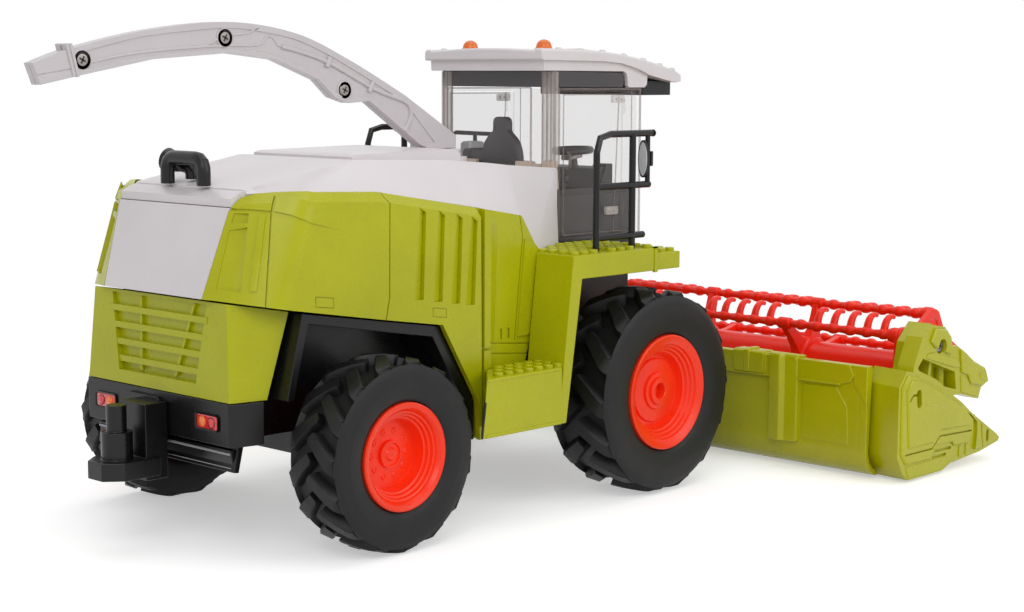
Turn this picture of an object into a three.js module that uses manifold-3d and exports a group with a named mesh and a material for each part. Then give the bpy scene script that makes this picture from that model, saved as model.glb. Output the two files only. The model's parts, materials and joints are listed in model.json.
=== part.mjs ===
// Toy self-propelled forage harvester with a reel header.
// Millimetres, +X forwards, +Y to the machine's left, +Z up, ground at Z = 0.
// Inside the model X is measured from the rear axle; the finished group is
// shifted so that its origin lies under the middle of its length.
import * as THREE from "three";
import { mergeVertices } from "three/addons/utils/BufferGeometryUtils.js";
import Module from "manifold-3d";

// ---------------------------------------------------------------- dimensions
const GAP = 0.3; // air left between two pieces that touch

// wheels and axles
const WHEELBASE = 164.3;
const REAR_TYRE_R = 41;
const REAR_RIM_R = 23.4;
const REAR_TYRE_W = 29;
const REAR_TRACK_OUT = 89; // outer face of the rear wheels, from the middle
const FRONT_TYRE_R = 48.5;
const FRONT_RIM_R = 28;
const FRONT_TYRE_W = 35;
const FRONT_TRACK_OUT = 94.3;
const KINGPIN_Y = 53;
const KINGPIN_R = 2.6;
const STUB_R = 3.4; // stub axle that carries a wheel
const STUB_CLEARANCE = 0.35; // radial, in the rim's bore
const AXLE_BEAM = 13; // height of both axle beams
const AXLE_DEPTH = 15; // size of the beams along X

// body shell
const BODY_HALF = 65; // outer face of the side shells
const SHELL = 2.6; // wall of the moulded shells
const TAIL_X = -60; // rear face of the lower tail
const TAIL_LOW_Z = 66;
const SKIRT_REAR_Z = 107; // lower edge of the upper shell at the rear
const SKIRT_FALL = 0.18; // drop of that edge per millimetre forwards
const SKIRT_FRONT_Z = 35.4; // lower edge ahead of the wheel arch
const BUMPER_LOW_Z = 48;
const SPINE_HALF = 40; // chassis between the steered wheels
const CHASSIS_FRONT_X = 206;
const CHASSIS_TOP_Z = 104;
const BELLY_Z = 41;

// walkways beside the cab
const WALK_OUT = 85; // outer face of steps and walkways
const WALK_REAR_X = 106.5;
const WALK_FRONT_X = 164;
const WALK_TOP_Z = 116.4;
const WALK_THICK = 10.8;
const CAB_FLOOR_Z = WALK_TOP_Z + GAP; // what stands on the walkways
const STEP_REAR_X = 47;
const STEP_FRONT_X = 99.3;
const STEP_TOP_Z = 66.7;
const STEP_LOW_Z = 41;
const RAIL_Y = 78;
const RAIL_TUBE_R = 1.6;
const RAIL_TOP_Z = 170;

// cab
const CAB_HALF = 38;
const CAB_REAR_X = 143.8;
const CAB_FRONT_X = 209.5;
const GLASS = 1.8;
const GLASS_TOP_Z = 190.4;
const ROOF_LOW_Z = 198.8;
const ROOF_TOP_Z = 208.4;
const ROOF_HALF = 40.5;
const ROOF_REAR_X = 134;
const DOOR_REAR_X = 149.6;
const DOOR_FRONT_X = 195;
const DOOR_LOW_Z = 119.4;
const DOOR_GAP = 0.5;
const DECK_SIDE_Z = 153; // white body at the rear of the cab
const BEACON_X = 151;
const BEACON_Y = 25;
const BEACON_R = 4.25;

// discharge spout
const SPOUT_X = 104; // swivel axis
const SPOUT_WIDTH = 6.6;
const SPOUT_BASE_R = 11;
const SPOUT_TIP_X = -116.4;

// header
const HEADER_HALF = 165;
const END_THICK = 21;
const TROUGH_REAR_X = 250;
const TROUGH_TOP_Z = 56.5;
const TROUGH_LOW_Z = 1.2;
const TROUGH_BEND_R = 14;
const TROUGH_WALL = 2.4;
const TIP_X = 351; // point of the end dividers
const REEL_X = 313.2;
const REEL_Z = 45;
const REEL_R = 31.3;
const REEL_BATS = 6;
const BAT_R = 1.5;
const REEL_TUBE_R = 9.5;
const LIFT_X = 205.5; // hinge of the feeder neck
const LIFT_Z = 62;
const LIFT_PIN_R = 3;
const PIN_CLEARANCE = 0.4; // radial, in every pin bore
const PIVOT_R = 3; // pins of the reel

// ---------------------------------------------------------------- materials
const finish = (color, roughness, metalness = 0) =>
  new THREE.MeshStandardMaterial({ color, roughness, metalness });
const clear = (color) =>
  new THREE.MeshStandardMaterial({ color, roughness: 0.05, transparent: true, opacity: 0.3 });
const GREEN = finish(0xa8a92a, 0.35);
const HEADER_GREEN = finish(0xa9aa1c, 0.35);
const WHITE = finish(0xcfcacb, 0.35);
const BLACK = finish(0x2b2a2b, 0.5);
const CAB_BLACK = finish(0x353436, 0.45);
const RUBBER = finish(0x252424, 0.8);
const ORANGE = finish(0xff3c1c, 0.35);
const RED = finish(0xe02a18, 0.35);
const AMBER = clear(0xf08a10);
const CLEAR = clear(0xe6e4e4);

// ---------------------------------------------------------------- solids
const wasm = await Module();
wasm.setup();

const solid = (geometry) => {
  const bare = geometry.clone();
  bare.deleteAttribute("normal");
  bare.deleteAttribute("uv");
  const merged = mergeVertices(bare, 1e-4);
  return new wasm.Manifold(
    new wasm.Mesh({
      numProp: 3,
      vertProperties: Float32Array.from(merged.attributes.position.array),
      triVerts: Uint32Array.from(merged.index.array),
    }),
  );
};

const geometryOf = (manifold) => {
  const mesh = manifold.getMesh();
  const geometry = new THREE.BufferGeometry();
  geometry.setAttribute("position", new THREE.BufferAttribute(mesh.vertProperties, 3));
  geometry.setIndex(new THREE.BufferAttribute(mesh.triVerts, 1));
  return geometry;
};

const join = (...parts) => parts.reduce((whole, part) => whole.add(part));
const cut = (body, ...tools) => tools.reduce((rest, tool) => rest.subtract(tool), body);

// Block between two corners.
const block = (x0, x1, y0, y1, z0, z1) => {
  const geometry = new THREE.BoxGeometry(x1 - x0, y1 - y0, z1 - z0);
  geometry.translate((x0 + x1) / 2, (y0 + y1) / 2, (z0 + z1) / 2);
  return solid(geometry);
};

const shapeOf = (points) => new THREE.Shape(points.map(([u, v]) => new THREE.Vector2(u, v)));

const extruded = (shape, depth, curveSegments = 12) =>
  new THREE.ExtrudeGeometry(shape, { depth, bevelEnabled: false, curveSegments });

// Side profile (x, z) extruded across the machine from y0 to y1.
const slab = (profile, y0, y1, curveSegments) => {
  const shape = Array.isArray(profile) ? shapeOf(profile) : profile;
  const geometry = extruded(shape, y1 - y0, curveSegments);
  geometry.rotateX(Math.PI / 2);
  geometry.translate(0, y1, 0);
  return solid(geometry);
};

// Plan outline (x, y) extruded upwards from z0 to z1.
const plate = (outline, z0, z1, curveSegments) => {
  const shape = Array.isArray(outline) ? shapeOf(outline) : outline;
  const geometry = extruded(shape, z1 - z0, curveSegments);
  geometry.translate(0, 0, z0);
  return solid(geometry);
};

// Cylinder between two points.
const rod = (from, to, radius, segments = 20, endRadius = radius) => {
  const start = new THREE.Vector3(...from);
  const axis = new THREE.Vector3(...to).sub(start);
  const geometry = new THREE.CylinderGeometry(endRadius, radius, axis.length(), segments);
  geometry.translate(0, axis.length() / 2, 0);
  const turn = new THREE.Quaternion();
  turn.setFromUnitVectors(new THREE.Vector3(0, 1, 0), axis.normalize());
  geometry.applyQuaternion(turn);
  geometry.translate(start.x, start.y, start.z);
  return solid(geometry);
};

// Profile (radius, height) turned about the line through `centre` along Y or Z.
const turned = (profile, centre, axis = "z", segments = 36) => {
  const points = profile.map(([r, h]) => new THREE.Vector2(r, h));
  const geometry = new THREE.LatheGeometry(points, segments);
  if (axis === "z") geometry.rotateX(Math.PI / 2);
  geometry.translate(...centre);
  return solid(geometry);
};

// Skin through rings of equal length, closed with a cap at each end.
const loft = (rings) => {
  const size = rings[0].length;
  const position = rings.flat(2);
  const index = [];
  for (let ring = 0; ring + 1 < rings.length; ring += 1) {
    for (let k = 0; k < size; k += 1) {
      const a = ring * size + k;
      const b = ring * size + ((k + 1) % size);
      index.push(a, b, b + size, a, b + size, a + size);
    }
  }
  const last = (rings.length - 1) * size;
  for (const [offset, ring, flip] of [[0, rings[0], true], [last, rings.at(-1), false]]) {
    for (const [a, b, c] of capOf(ring)) {
      index.push(offset + a, offset + (flip ? c : b), offset + (flip ? b : c));
    }
  }
  const geometry = new THREE.BufferGeometry();
  geometry.setAttribute("position", new THREE.Float32BufferAttribute(position, 3));
  geometry.setIndex(index);
  const skin = solid(geometry);
  if (skin.volume() > 0) return skin;
  geometry.index.array.reverse();
  return solid(geometry);
};

// Triangles that close one planar ring, in the ring's own order.
const capOf = (ring) => {
  const points = ring.map((p) => new THREE.Vector3(...p));
  const normal = new THREE.Vector3();
  points.forEach((p, k) => {
    const q = points[(k + 1) % points.length];
    normal.x += (p.y - q.y) * (p.z + q.z);
    normal.y += (p.z - q.z) * (p.x + q.x);
    normal.z += (p.x - q.x) * (p.y + q.y);
  });
  const turn = new THREE.Quaternion();
  turn.setFromUnitVectors(normal.normalize(), new THREE.Vector3(0, 0, 1));
  const flat = points.map((p) => p.clone().applyQuaternion(turn));
  return THREE.ShapeUtils.triangulateShape(flat.map((p) => new THREE.Vector2(p.x, p.y)), []);
};

// The same shape on the other side of the machine.
const mirrored = (geometry) => {
  const copy = geometry.clone();
  copy.scale(1, -1, 1);
  copy.index.array.reverse();
  return copy;
};

// ---------------------------------------------------------------- assembly
const machine = new THREE.Group();

const place = (name, geometry, material) => {
  const mesh = new THREE.Mesh(geometry, material);
  mesh.name = name;
  machine.add(mesh);
};

const add = (name, body, material) => place(name, geometryOf(body), material);

// Right-hand piece (at -Y) and its mirror image on the left.
const addPair = (name, body, material) => {
  const geometry = geometryOf(body);
  place(`${name}_right`, geometry, material);
  place(`${name}_left`, mirrored(geometry), material);
};

const lerp = (a, b, t) => a + (b - a) * t;

// ---------------------------------------------------------------- side shells
// One wall station: foot and head of the outer face, and the inward direction.
const wallRing = ([fx, fy, fz], [hx, hy, hz], [nx, ny]) => {
  const bevel = 3.5;
  const shoulderZ = hz - 4;
  const t = (shoulderZ - fz) / (hz - fz);
  const sx = lerp(fx, hx, t);
  const sy = lerp(fy, hy, t);
  return [
    [fx, fy, fz],
    [sx, sy, shoulderZ],
    [hx + nx * bevel, hy + ny * bevel, hz],
    [hx + nx * (bevel + SHELL), hy + ny * (bevel + SHELL), hz],
    [sx + nx * SHELL, sy + ny * SHELL, shoulderZ - SHELL],
    [fx + nx * SHELL, fy + ny * SHELL, fz],
  ];
};

const shellTop = (x) =>
  x < 10.5 ? lerp(150.6, 148.2, (x + 48) / 58.5) : lerp(148.2, 138.8, (x - 10.5) / 58);
const PANEL_LOW_Z = SKIRT_REAR_Z - 0.2;
const PANEL_HEAD_Z = 143.2; // top of the white rear panel
const QUARTER_X = 68.6; // seam between the side shell and the front quarter
const PANEL_HALF_TOP = 38; // half-width of the white rear panel
const PANEL_HALF_LOW = 34;
const DECK_REAR_Z = 146.8; // top of the white deck at its rear edge

// half-width of the panel, and of the opening for it, at a height
const panelHalf = (z) => {
  const share = (z - PANEL_LOW_Z) / (PANEL_HEAD_Z - PANEL_LOW_Z);
  return lerp(PANEL_HALF_LOW, PANEL_HALF_TOP, share);
};

const skirtZ = (x) => SKIRT_REAR_Z - SKIRT_FALL * (x - TAIL_X + 1.5);

const sideShell = () => {
  const foot = (x, y) => [x, -y, skirtZ(x)];
  const rear = [
    wallRing(
      [-61.4, -PANEL_HALF_LOW - GAP, PANEL_LOW_Z],
      [-48.5, -panelHalf(DECK_REAR_Z) - GAP, DECK_REAR_Z],
      [1, 0],
    ),
    wallRing(foot(-59.5, 40), [-46.8, -41, 147.6], [0.94, 0.34]),
    wallRing(foot(-57, 47), [-44, -46, 149], [0.88, 0.47]),
    wallRing(foot(-53, 54), [-38.8, -53.2, 149.7], [0.8, 0.6]),
    wallRing(foot(-46.5, 61.5), [-33, -60.5, 150], [0.6, 0.8]),
    wallRing(foot(-41, 64.5), [-27.5, -64, 150.1], [0.2, 0.98]),
  ];
  const side = [
    [-24, skirtZ(-37.9) - 2.3],
    [10.1, 94.7],
    [44.1, 89.3],
    [65.7, 53.7],
    [67, SKIRT_FRONT_Z],
    [QUARTER_X - GAP, SKIRT_FRONT_Z],
  ].map(([x, low]) => wallRing([x, -BODY_HALF, low], [x, -BODY_HALF + 0.8, shellTop(x)], [0, 1]));
  return loft([...rear, ...side]);
};

const QUARTER_OUT = 61; // outer face of the set-back front quarter
const frontQuarter = () => {
  const outline = [
    [QUARTER_X, SKIRT_FRONT_Z],
    [STEP_FRONT_X + 1, SKIRT_FRONT_Z],
    [STEP_FRONT_X + 1, STEP_TOP_Z],
    [WALK_REAR_X + 5.5, WALK_TOP_Z - WALK_THICK - GAP],
    [WALK_REAR_X + 5.5, WALK_TOP_Z - 4],
    [97.6, 133.8],
    [QUARTER_X, 138.8],
  ];
  return slab(outline, -QUARTER_OUT, -QUARTER_OUT + SHELL);
};

addPair("side_shell", sideShell(), GREEN);
addPair("front_quarter", frontQuarter(), GREEN);

// ---------------------------------------------------------------- rear end

const rearPanel = () => {
  const ring = (half, x, z) => [
    [x, -half, z],
    [x + SHELL, -half, z],
    [x + SHELL, half, z],
    [x, half, z],
  ];
  const low = ring(PANEL_HALF_LOW, -61.6, PANEL_LOW_Z);
  return loft([low, ring(panelHalf(PANEL_HEAD_Z), -49.9, PANEL_HEAD_Z)]);
};

const GRILLE_HALF = 34; // slats reach a little into both sides of the pocket
const lowerTail = () => {
  const ring = (rearX, frontX, rearHalf, frontHalf, height) =>
    [
      [rearX, -rearHalf],
      [rearX + 1.5, -rearHalf - 1],
      [frontX, -frontHalf],
      [frontX, frontHalf],
      [rearX + 1.5, rearHalf + 1],
      [rearX, rearHalf],
    ].map(([x, y]) => [x, y, height(x)]);
  const foot = () => TAIL_LOW_Z;
  const head = (x) => skirtZ(x) - GAP - 0.5;
  const outer = loft([
    ring(TAIL_X, -43.7, 49.3, 53.1, foot),
    ring(TAIL_X + 2, -34, 46, 55.4, head),
  ]);
  const inner = loft([
    ring(TAIL_X + SHELL + 3, -20, 46, 50, () => TAIL_LOW_Z - 1),
    ring(TAIL_X + SHELL + 5, -20, 43, 53, (x) => head(x) + 1),
  ]);
  const pocket = (half, z) => [
    [TAIL_X - 2, -half, z],
    [TAIL_X + 3.4, -half, z],
    [TAIL_X + 3.4, half, z],
    [TAIL_X - 2, half, z],
  ];
  const tail = cut(outer, inner, loft([pocket(27, 71.5), pocket(33, 104.4)]));
  const slats = [75, 82.2, 89.4, 96.6].map((z) =>
    block(TAIL_X + 1.2, TAIL_X + 3.8, -GRILLE_HALF, GRILLE_HALF, z, z + 2.6),
  );
  return join(tail, ...slats);
};

const LIP_HALF = 48; // half-length of the lip that hangs under the bumper
const bumper = () => {
  const outline = (out, z) =>
    [
      [TAIL_X - out, -49.3],
      [TAIL_X + 1.6, -51 - out],
      [-46, -53.6 - out],
      [-46, 53.6 + out],
      [TAIL_X + 1.6, 51 + out],
      [TAIL_X - out, 49.3],
    ].map(([x, y]) => [x, y, z]);
  const top = TAIL_LOW_Z - GAP;
  const shell = loft([outline(0.3, BUMPER_LOW_Z), outline(0.6, top)]);
  const hollow = block(TAIL_X + 3, -40, -47, 47, BUMPER_LOW_Z - 1, top + 1);
  const lip = slab([[-57, 37], [-54.5, 36.6], [-51.5, 49], [-54.5, 49]], -LIP_HALF, LIP_HALF);
  const web = block(TAIL_X + 2, -51.5, -LIP_HALF, LIP_HALF, BUMPER_LOW_Z, BUMPER_LOW_Z + 3);
  return join(cut(shell, hollow), lip, web);
};

// Tow hitch: mounting block, tow plate and the stepped coupling pin.
const hitch = () => {
  const blockBody = block(TAIL_X - 12, TAIL_X - 0.8 - GAP, -9, 9, 30, 62);
  const towPlate = plate(
    [[-66, -11], [-84, -11], [-91, -5], [-91, 5], [-84, 11], [-66, 11]],
    32,
    39.5,
  );
  const pinX = -80;
  const lowPin = rod([pinX, 0, 39], [pinX, 0, 51], 6.5, 28);
  const topPin = rod([pinX, 0, 50.5], [pinX, 0, 62], 4.2, 28);
  return join(blockBody, towPlate, lowPin, topPin);
};

add("rear_panel", rearPanel(), WHITE);
add("lower_tail", lowerTail(), GREEN);
add("rear_bumper", bumper(), BLACK);
add("tow_hitch", hitch(), BLACK);

// ---------------------------------------------------------------- engine deck
// Stations: x, half-width and height of the outer edge, half-width and height
// of the crown.
const DECK_STATIONS = [
  [-41.2, 38.5, 148.6, 37, 150.2],
  [-38.4, 42.4, 148.9, 38, 150.9],
  [-33.6, 49, 149.2, 38.6, 151.8],
  [-29, 55, 149.4, 38.8, 152.6],
  [-25.8, 57.3, 149.4, 39, 153.2],
  [16, 57.8, 147.4, 39, 160.6],
  [73, 57.4, 138.4, 39.4, 158.8],
  [98, 57.2, 133.4, 39.7, 156.8],
  [110.5, 57, WALK_TOP_Z + GAP, 40, 155.4],
  [CAB_REAR_X - GAP, 42, WALK_TOP_Z + GAP, 40, DECK_SIDE_Z],
];

const engineDeck = () => {
  const ring = ([x, edge, edgeZ, crown, crownZ]) => {
    const slope = Math.hypot(edge - crown, crownZ - edgeZ);
    const inset = Math.max(0, (SHELL * (crownZ - edgeZ)) / slope);
    const drop = (SHELL * (edge - crown)) / slope;
    return [
      [x, -edge, edgeZ],
      [x, -crown, crownZ],
      [x, crown, crownZ],
      [x, edge, edgeZ],
      [x, edge - inset, Math.max(edgeZ - drop, CAB_FLOOR_Z)],
      [x, crown - 1 - inset / 2, crownZ - SHELL],
      [x, 1 - crown + inset / 2, crownZ - SHELL],
      [x, inset - edge, Math.max(edgeZ - drop, CAB_FLOOR_Z)],
    ];
  };
  const skin = loft(DECK_STATIONS.map(ring));
  const ledgeRing = (x, low, high) => [[x, -38, low], [x, 38, low], [x, 38, high], [x, -38, high]];
  const ledge = loft([
    ledgeRing(-48.8, PANEL_HEAD_Z + GAP, DECK_REAR_Z),
    ledgeRing(-44.5, 144.6, 149.1),
    ledgeRing(-40.8, 145.4, 149.8),
  ]);
  const hatch = slab([[20, 157], [20, 161.6], [23, 162.5], [82, 163.4], [86, 161], [86, 154]], -33.5, 33.5);
  const wallX = CAB_REAR_X - GAP;
  const cabWall = block(wallX - SHELL, wallX, -41, 41, CAB_FLOOR_Z, DECK_SIDE_Z - 0.5);
  const turntableSeat = rod([SPOUT_X, 0, 150], [SPOUT_X, 0, 158.2], SPOUT_BASE_R + 3, 36);
  return join(skin, ledge, hatch, cabWall, turntableSeat);
};

const sweep = (curve, radius, steps, sides) => {
  const circle = new THREE.Shape();
  circle.absarc(0, 0, radius, 0, 2 * Math.PI, false);
  const options = { steps, curveSegments: sides, bevelEnabled: false, extrudePath: curve };
  return new THREE.ExtrudeGeometry(circle, options);
};

// Pipe through corner points, each corner rounded with the given bend radius.
const bentPipe = (corners, bend, radius, sides = 6) => {
  const path = new THREE.CurvePath();
  const points = corners.map((p) => new THREE.Vector3(...p));
  let from = points[0];
  for (let k = 1; k + 1 < points.length; k += 1) {
    const before = points[k].clone().sub(points[k - 1]).setLength(bend);
    const after = points[k + 1].clone().sub(points[k]).setLength(bend);
    const enter = points[k].clone().sub(before);
    const leave = points[k].clone().add(after);
    path.add(new THREE.LineCurve3(from, enter));
    path.add(new THREE.QuadraticBezierCurve3(enter, points[k], leave));
    from = leave;
  }
  path.add(new THREE.LineCurve3(from, points.at(-1)));
  const steps = 6 * (corners.length - 1);
  return solid(sweep(path, radius, steps, sides));
};

// Height of the deck's crown at a place along the machine.
const crownAt = (x) => {
  const k = DECK_STATIONS.findIndex((station, i) => i > 0 && x <= station[0]);
  const [x0, , , , z0] = DECK_STATIONS[k - 1];
  const [x1, , , , z1] = DECK_STATIONS[k];
  return lerp(z0, z1, (x - x0) / (x1 - x0));
};

// U-shaped handle across the rear of the deck.
const deckHandle = () => {
  const x = -43;
  const foot = crownAt(x + 3) + GAP;
  return bentPipe([[x, -12.5, foot], [x, -12.5, 162], [x, 12.5, 162], [x, 12.5, foot]], 5, 3);
};

const exhaust = () => {
  const x = -34;
  const pipe = bentPipe([[x, 7, crownAt(x + 3.2) + GAP], [x, 7, 157.5], [x - 1.6, 16, 159.2]], 3.5, 3.2);
  const bell = rod([x - 1.2, 13.6, 158.7], [x - 2.4, 21.5, 160.3], 3.4, 24, 5.3);
  return join(pipe, bell);
};

add("engine_deck", engineDeck(), WHITE);
add("deck_handle", deckHandle(), BLACK);
add("exhaust_stack", exhaust(), BLACK);

// ---------------------------------------------------------------- chassis
const chassis = () => {
  const spine = [
    [TAIL_X + SHELL + 5.5, TAIL_LOW_Z + 4],
    [TAIL_X + SHELL + 5.5, 58],
    [-46, 48],
    [-24, 48],
    [-18, 41 + AXLE_BEAM / 2 + GAP],
    [18, 41 + AXLE_BEAM / 2 + GAP],
    [26, BELLY_Z],
    [140, BELLY_Z],
    [WHEELBASE - 14, FRONT_TYRE_R + AXLE_BEAM / 2 + GAP],
    [WHEELBASE + 14, FRONT_TYRE_R + AXLE_BEAM / 2 + GAP],
    [WHEELBASE + 16, 46],
    [CHASSIS_FRONT_X - 8, 46],
    [CHASSIS_FRONT_X - 8, CHASSIS_TOP_Z],
    [TAIL_X + SHELL + 5.5, CHASSIS_TOP_Z],
  ];
  const middle = slab(spine, -SPINE_HALF, SPINE_HALF);
  const front = block(66.5, 104, -QUARTER_OUT + SHELL + GAP, QUARTER_OUT - SHELL - GAP, SKIRT_FRONT_Z, 100);
  const cabFloor = block(104, CHASSIS_FRONT_X - 8, -SPINE_HALF, SPINE_HALF, 100, WALK_TOP_Z - GAP);
  return join(middle, front, cabFloor, hingeEars());
};

// Black liner over the rear wheel, hung on the side of the chassis.
const wheelArch = () => {
  const arch = [
    [-37, 66],
    [-29, 96.3],
    [10.1, 89.5],
    [40.5, 84.2],
    [62, 49],
    [62.8, SKIRT_FRONT_Z],
    [66, SKIRT_FRONT_Z],
    [65.8, 53],
    [44.3, 88.6],
    [10.1, 94.2],
    [-32.2, 101],
    [-40.6, 66],
  ];
  return slab(arch, -BODY_HALF + SHELL + GAP, -SPINE_HALF - GAP);
};

// Two ears at the front of the chassis that carry the feeder's hinge pin.
const EAR_Y = 30;
const EAR_THICK = 6;
const hingeEars = () => {
  const ear = (y) => {
    const y0 = y - EAR_THICK / 2;
    const y1 = y + EAR_THICK / 2;
    const boss = rod([LIFT_X, y0, LIFT_Z], [LIFT_X, y1, LIFT_Z], 7, 28);
    const arm = block(LIFT_X - 12, LIFT_X, y0, y1, LIFT_Z - 7, LIFT_Z + 7);
    const bore = rod([LIFT_X, y0 - 1, LIFT_Z], [LIFT_X, y1 + 1, LIFT_Z], LIFT_PIN_R + PIN_CLEARANCE, 28);
    return cut(join(boss, arm), bore);
  };
  return join(ear(-EAR_Y), ear(EAR_Y));
};

add("chassis", chassis(), BLACK);
addPair("wheel_arch", wheelArch(), BLACK);

// ---------------------------------------------------------------- walkways
const walkway = () => {
  const low = WALK_TOP_Z - WALK_THICK;
  const inner = -CAB_HALF - 2.6;
  const deck = cut(
    block(WALK_REAR_X, WALK_FRONT_X, -WALK_OUT, inner, low, WALK_TOP_Z),
    block(
      WALK_REAR_X + 8,
      WALK_FRONT_X - SHELL,
      -WALK_OUT + SHELL,
      inner - SHELL,
      low - 1,
      WALK_TOP_Z - SHELL,
    ),
    block(WALK_REAR_X - 1, WALK_REAR_X + 6, -QUARTER_OUT - GAP, inner + 1, low - 1, WALK_TOP_Z + 1),
  );
  const nose = block(WALK_FRONT_X - 0.5, 184, -WALK_OUT + 1, inner, low, WALK_TOP_Z - 2.8);
  const leg = slab(
    [
      [STEP_FRONT_X - 2, STEP_LOW_Z],
      [STEP_FRONT_X + 3, STEP_LOW_Z],
      [WALK_REAR_X + 6, low + 0.5],
      [WALK_REAR_X + 6, WALK_TOP_Z],
      [WALK_REAR_X, WALK_TOP_Z],
    ],
    -WALK_OUT,
    -QUARTER_OUT - GAP - 1,
  );
  const step = cut(
    block(STEP_REAR_X, STEP_FRONT_X, -WALK_OUT, -BODY_HALF - GAP, STEP_LOW_Z, STEP_TOP_Z),
    block(
      STEP_REAR_X + SHELL,
      STEP_FRONT_X - SHELL,
      -WALK_OUT + SHELL,
      -BODY_HALF - GAP - SHELL,
      STEP_LOW_Z - 1,
      STEP_TOP_Z - SHELL,
    ),
  );
  return join(deck, nose, leg, step);
};

// Railing with three bars and the frame of the outside mirror.
const railing = () => {
  const y = -RAIL_Y;
  const foot = WALK_TOP_Z + GAP;
  const rearX = 129.5;
  const postX = 155;
  const mirrorX = 166;
  const hoop = bentPipe([[rearX, y, foot], [rearX, y, RAIL_TOP_Z], [169, y, RAIL_TOP_Z]], 8, RAIL_TUBE_R);
  const post = rod([postX, y, foot], [postX, y, RAIL_TOP_Z], RAIL_TUBE_R, 16);
  const bar = (z, x1) => rod([rearX, y, z], [x1, y, z], RAIL_TUBE_R, 16);
  const stalk = rod([mirrorX, y, 146], [mirrorX, y, RAIL_TOP_Z], 1.2, 16);
  const plateX = mirrorX - 3;
  const oval = new THREE.CylinderGeometry(1, 1, 1.8, 28);
  oval.rotateZ(Math.PI / 2);
  oval.scale(1, 2.7, 8.8);
  oval.translate(plateX, y, 158);
  const bracket = block(plateX, mirrorX, y - 0.9, y + 0.9, 156.5, 159.5);
  const mirror = join(solid(oval), bracket);
  return join(hoop, post, bar(146, 167), bar(122.5, 163), stalk, mirror);
};

addPair("walkway", walkway(), GREEN);
addPair("railing", railing(), BLACK);

// ---------------------------------------------------------------- cab
const cabShell = () => {
  const low = CAB_FLOOR_Z;
  const top = GLASS_TOP_Z;
  const x0 = CAB_REAR_X;
  const x1 = CAB_FRONT_X;
  const half = CAB_HALF;
  const inner = half - GLASS;
  const outside = block(x0, x1, -half, half, low, top);
  const hollow = block(x0 + GLASS, x1 - GLASS, -inner, inner, low - 1, top + 1);
  const doorway = block(
    DOOR_REAR_X - DOOR_GAP,
    DOOR_FRONT_X + DOOR_GAP,
    -half - 1,
    half + 1,
    DOOR_LOW_Z - DOOR_GAP,
    top + 1,
  );
  // a rail over each doorway ties the front and the rear of the glass
  const rail = block(DOOR_REAR_X - 3, DOOR_FRONT_X + 3, -half, half, top - 1.8, top);
  const railHollow = block(DOOR_REAR_X - 4, DOOR_FRONT_X + 4, -inner, inner, top - 3, top + 1);
  return join(cut(outside, hollow, doorway), cut(rail, railHollow));
};

const door = () => {
  const top = GLASS_TOP_Z - 1.8 - DOOR_GAP;
  const pane = block(DOOR_REAR_X, DOOR_FRONT_X, -CAB_HALF, -CAB_HALF + GLASS, DOOR_LOW_Z, top);
  const hingeX = DOOR_FRONT_X - 1.5;
  const hingeY = -CAB_HALF - 0.6;
  const hinge = (z) => rod([hingeX, hingeY, z], [hingeX, hingeY, z + 7], 1.8, 16);
  return join(pane, hinge(127), hinge(178));
};

const cabTub = () => {
  const inner = CAB_HALF - GLASS - 3 * GAP;
  const x0 = CAB_REAR_X + GLASS + GAP;
  const x1 = CAB_FRONT_X - GLASS - GAP;
  const tub = cut(
    block(x0, x1, -inner, inner, CAB_FLOOR_Z, 141),
    block(x0 + 3, x1 - 14, -inner + 3, inner - 3, CAB_FLOOR_Z + 3, 142),
  );
  const dash = slab(
    [[x1 - 14, 140], [x1 - 11, 150], [x1 - 4, 151], [x1 - 1, 141], [x1 - 1, 130], [x1 - 14, 130]],
    -20,
    20,
  );
  return join(tub, dash);
};

const seat = () => {
  const base = block(151, 170, -9, 9, CAB_FLOOR_Z + 3 + GAP, 142);
  const cushion = block(149, 175, -13, 13, 141, 147);
  const backRing = (x, depth, half, z) => [
    [x, -half, z],
    [x + depth, -half, z],
    [x + depth, half, z],
    [x, half, z],
  ];
  const back = loft([
    backRing(149, 4.5, 13.2, 146),
    backRing(148.2, 4.4, 12.8, 156),
    backRing(147.8, 4.2, 10.6, 162),
    backRing(147.6, 4, 8, 166.4),
    backRing(147.4, 3.8, 5.4, 170),
    backRing(147.2, 3.6, 5, 176),
  ]);  return join(base, cushion, back);
};

const steering = () => {
  const ring = new THREE.TorusGeometry(8.2, 1.1, 8, 28);
  ring.rotateX(0.12);
  ring.rotateZ(-Math.PI / 2);
  ring.translate(197, 0, 159.5);
  const column = rod([197, 0, 151 + GAP], [197, 0, 159.8], 2.4, 16);
  const spoke = block(189.4, 204.6, -1.4, 1.4, 158.4, 160);
  const crossSpoke = block(195.8, 198.4, -7.8, 7.8, 158.6, 160);
  return join(solid(ring), column, spoke, crossSpoke);
};

const roofFrame = () => {
  const x0 = CAB_REAR_X;
  const x1 = CAB_FRONT_X - 1;
  const half = CAB_HALF;
  const outside = block(x0, x1, -half, half, GLASS_TOP_Z + GAP, ROOF_LOW_Z - GAP);
  const hollow = block(x0 + 3, x1 - 3, 3 - half, half - 3, GLASS_TOP_Z, ROOF_LOW_Z);
  return cut(outside, hollow);
};

const ROOF_PROFILE = [
  [ROOF_REAR_X + 4, ROOF_LOW_Z],
  [CAB_FRONT_X - 0.7, ROOF_LOW_Z],
  [CAB_FRONT_X + 2, 194.6],
  [238.4, 194.6],
  [240, 197.2],
  [233.3, 201.7],
  [207.8, 205.4],
  [180, 207.6],
  [ROOF_REAR_X + 6, ROOF_TOP_Z],
  [ROOF_REAR_X, ROOF_TOP_Z - 0.6],
  [ROOF_REAR_X, ROOF_TOP_Z - 5],
];

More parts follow.
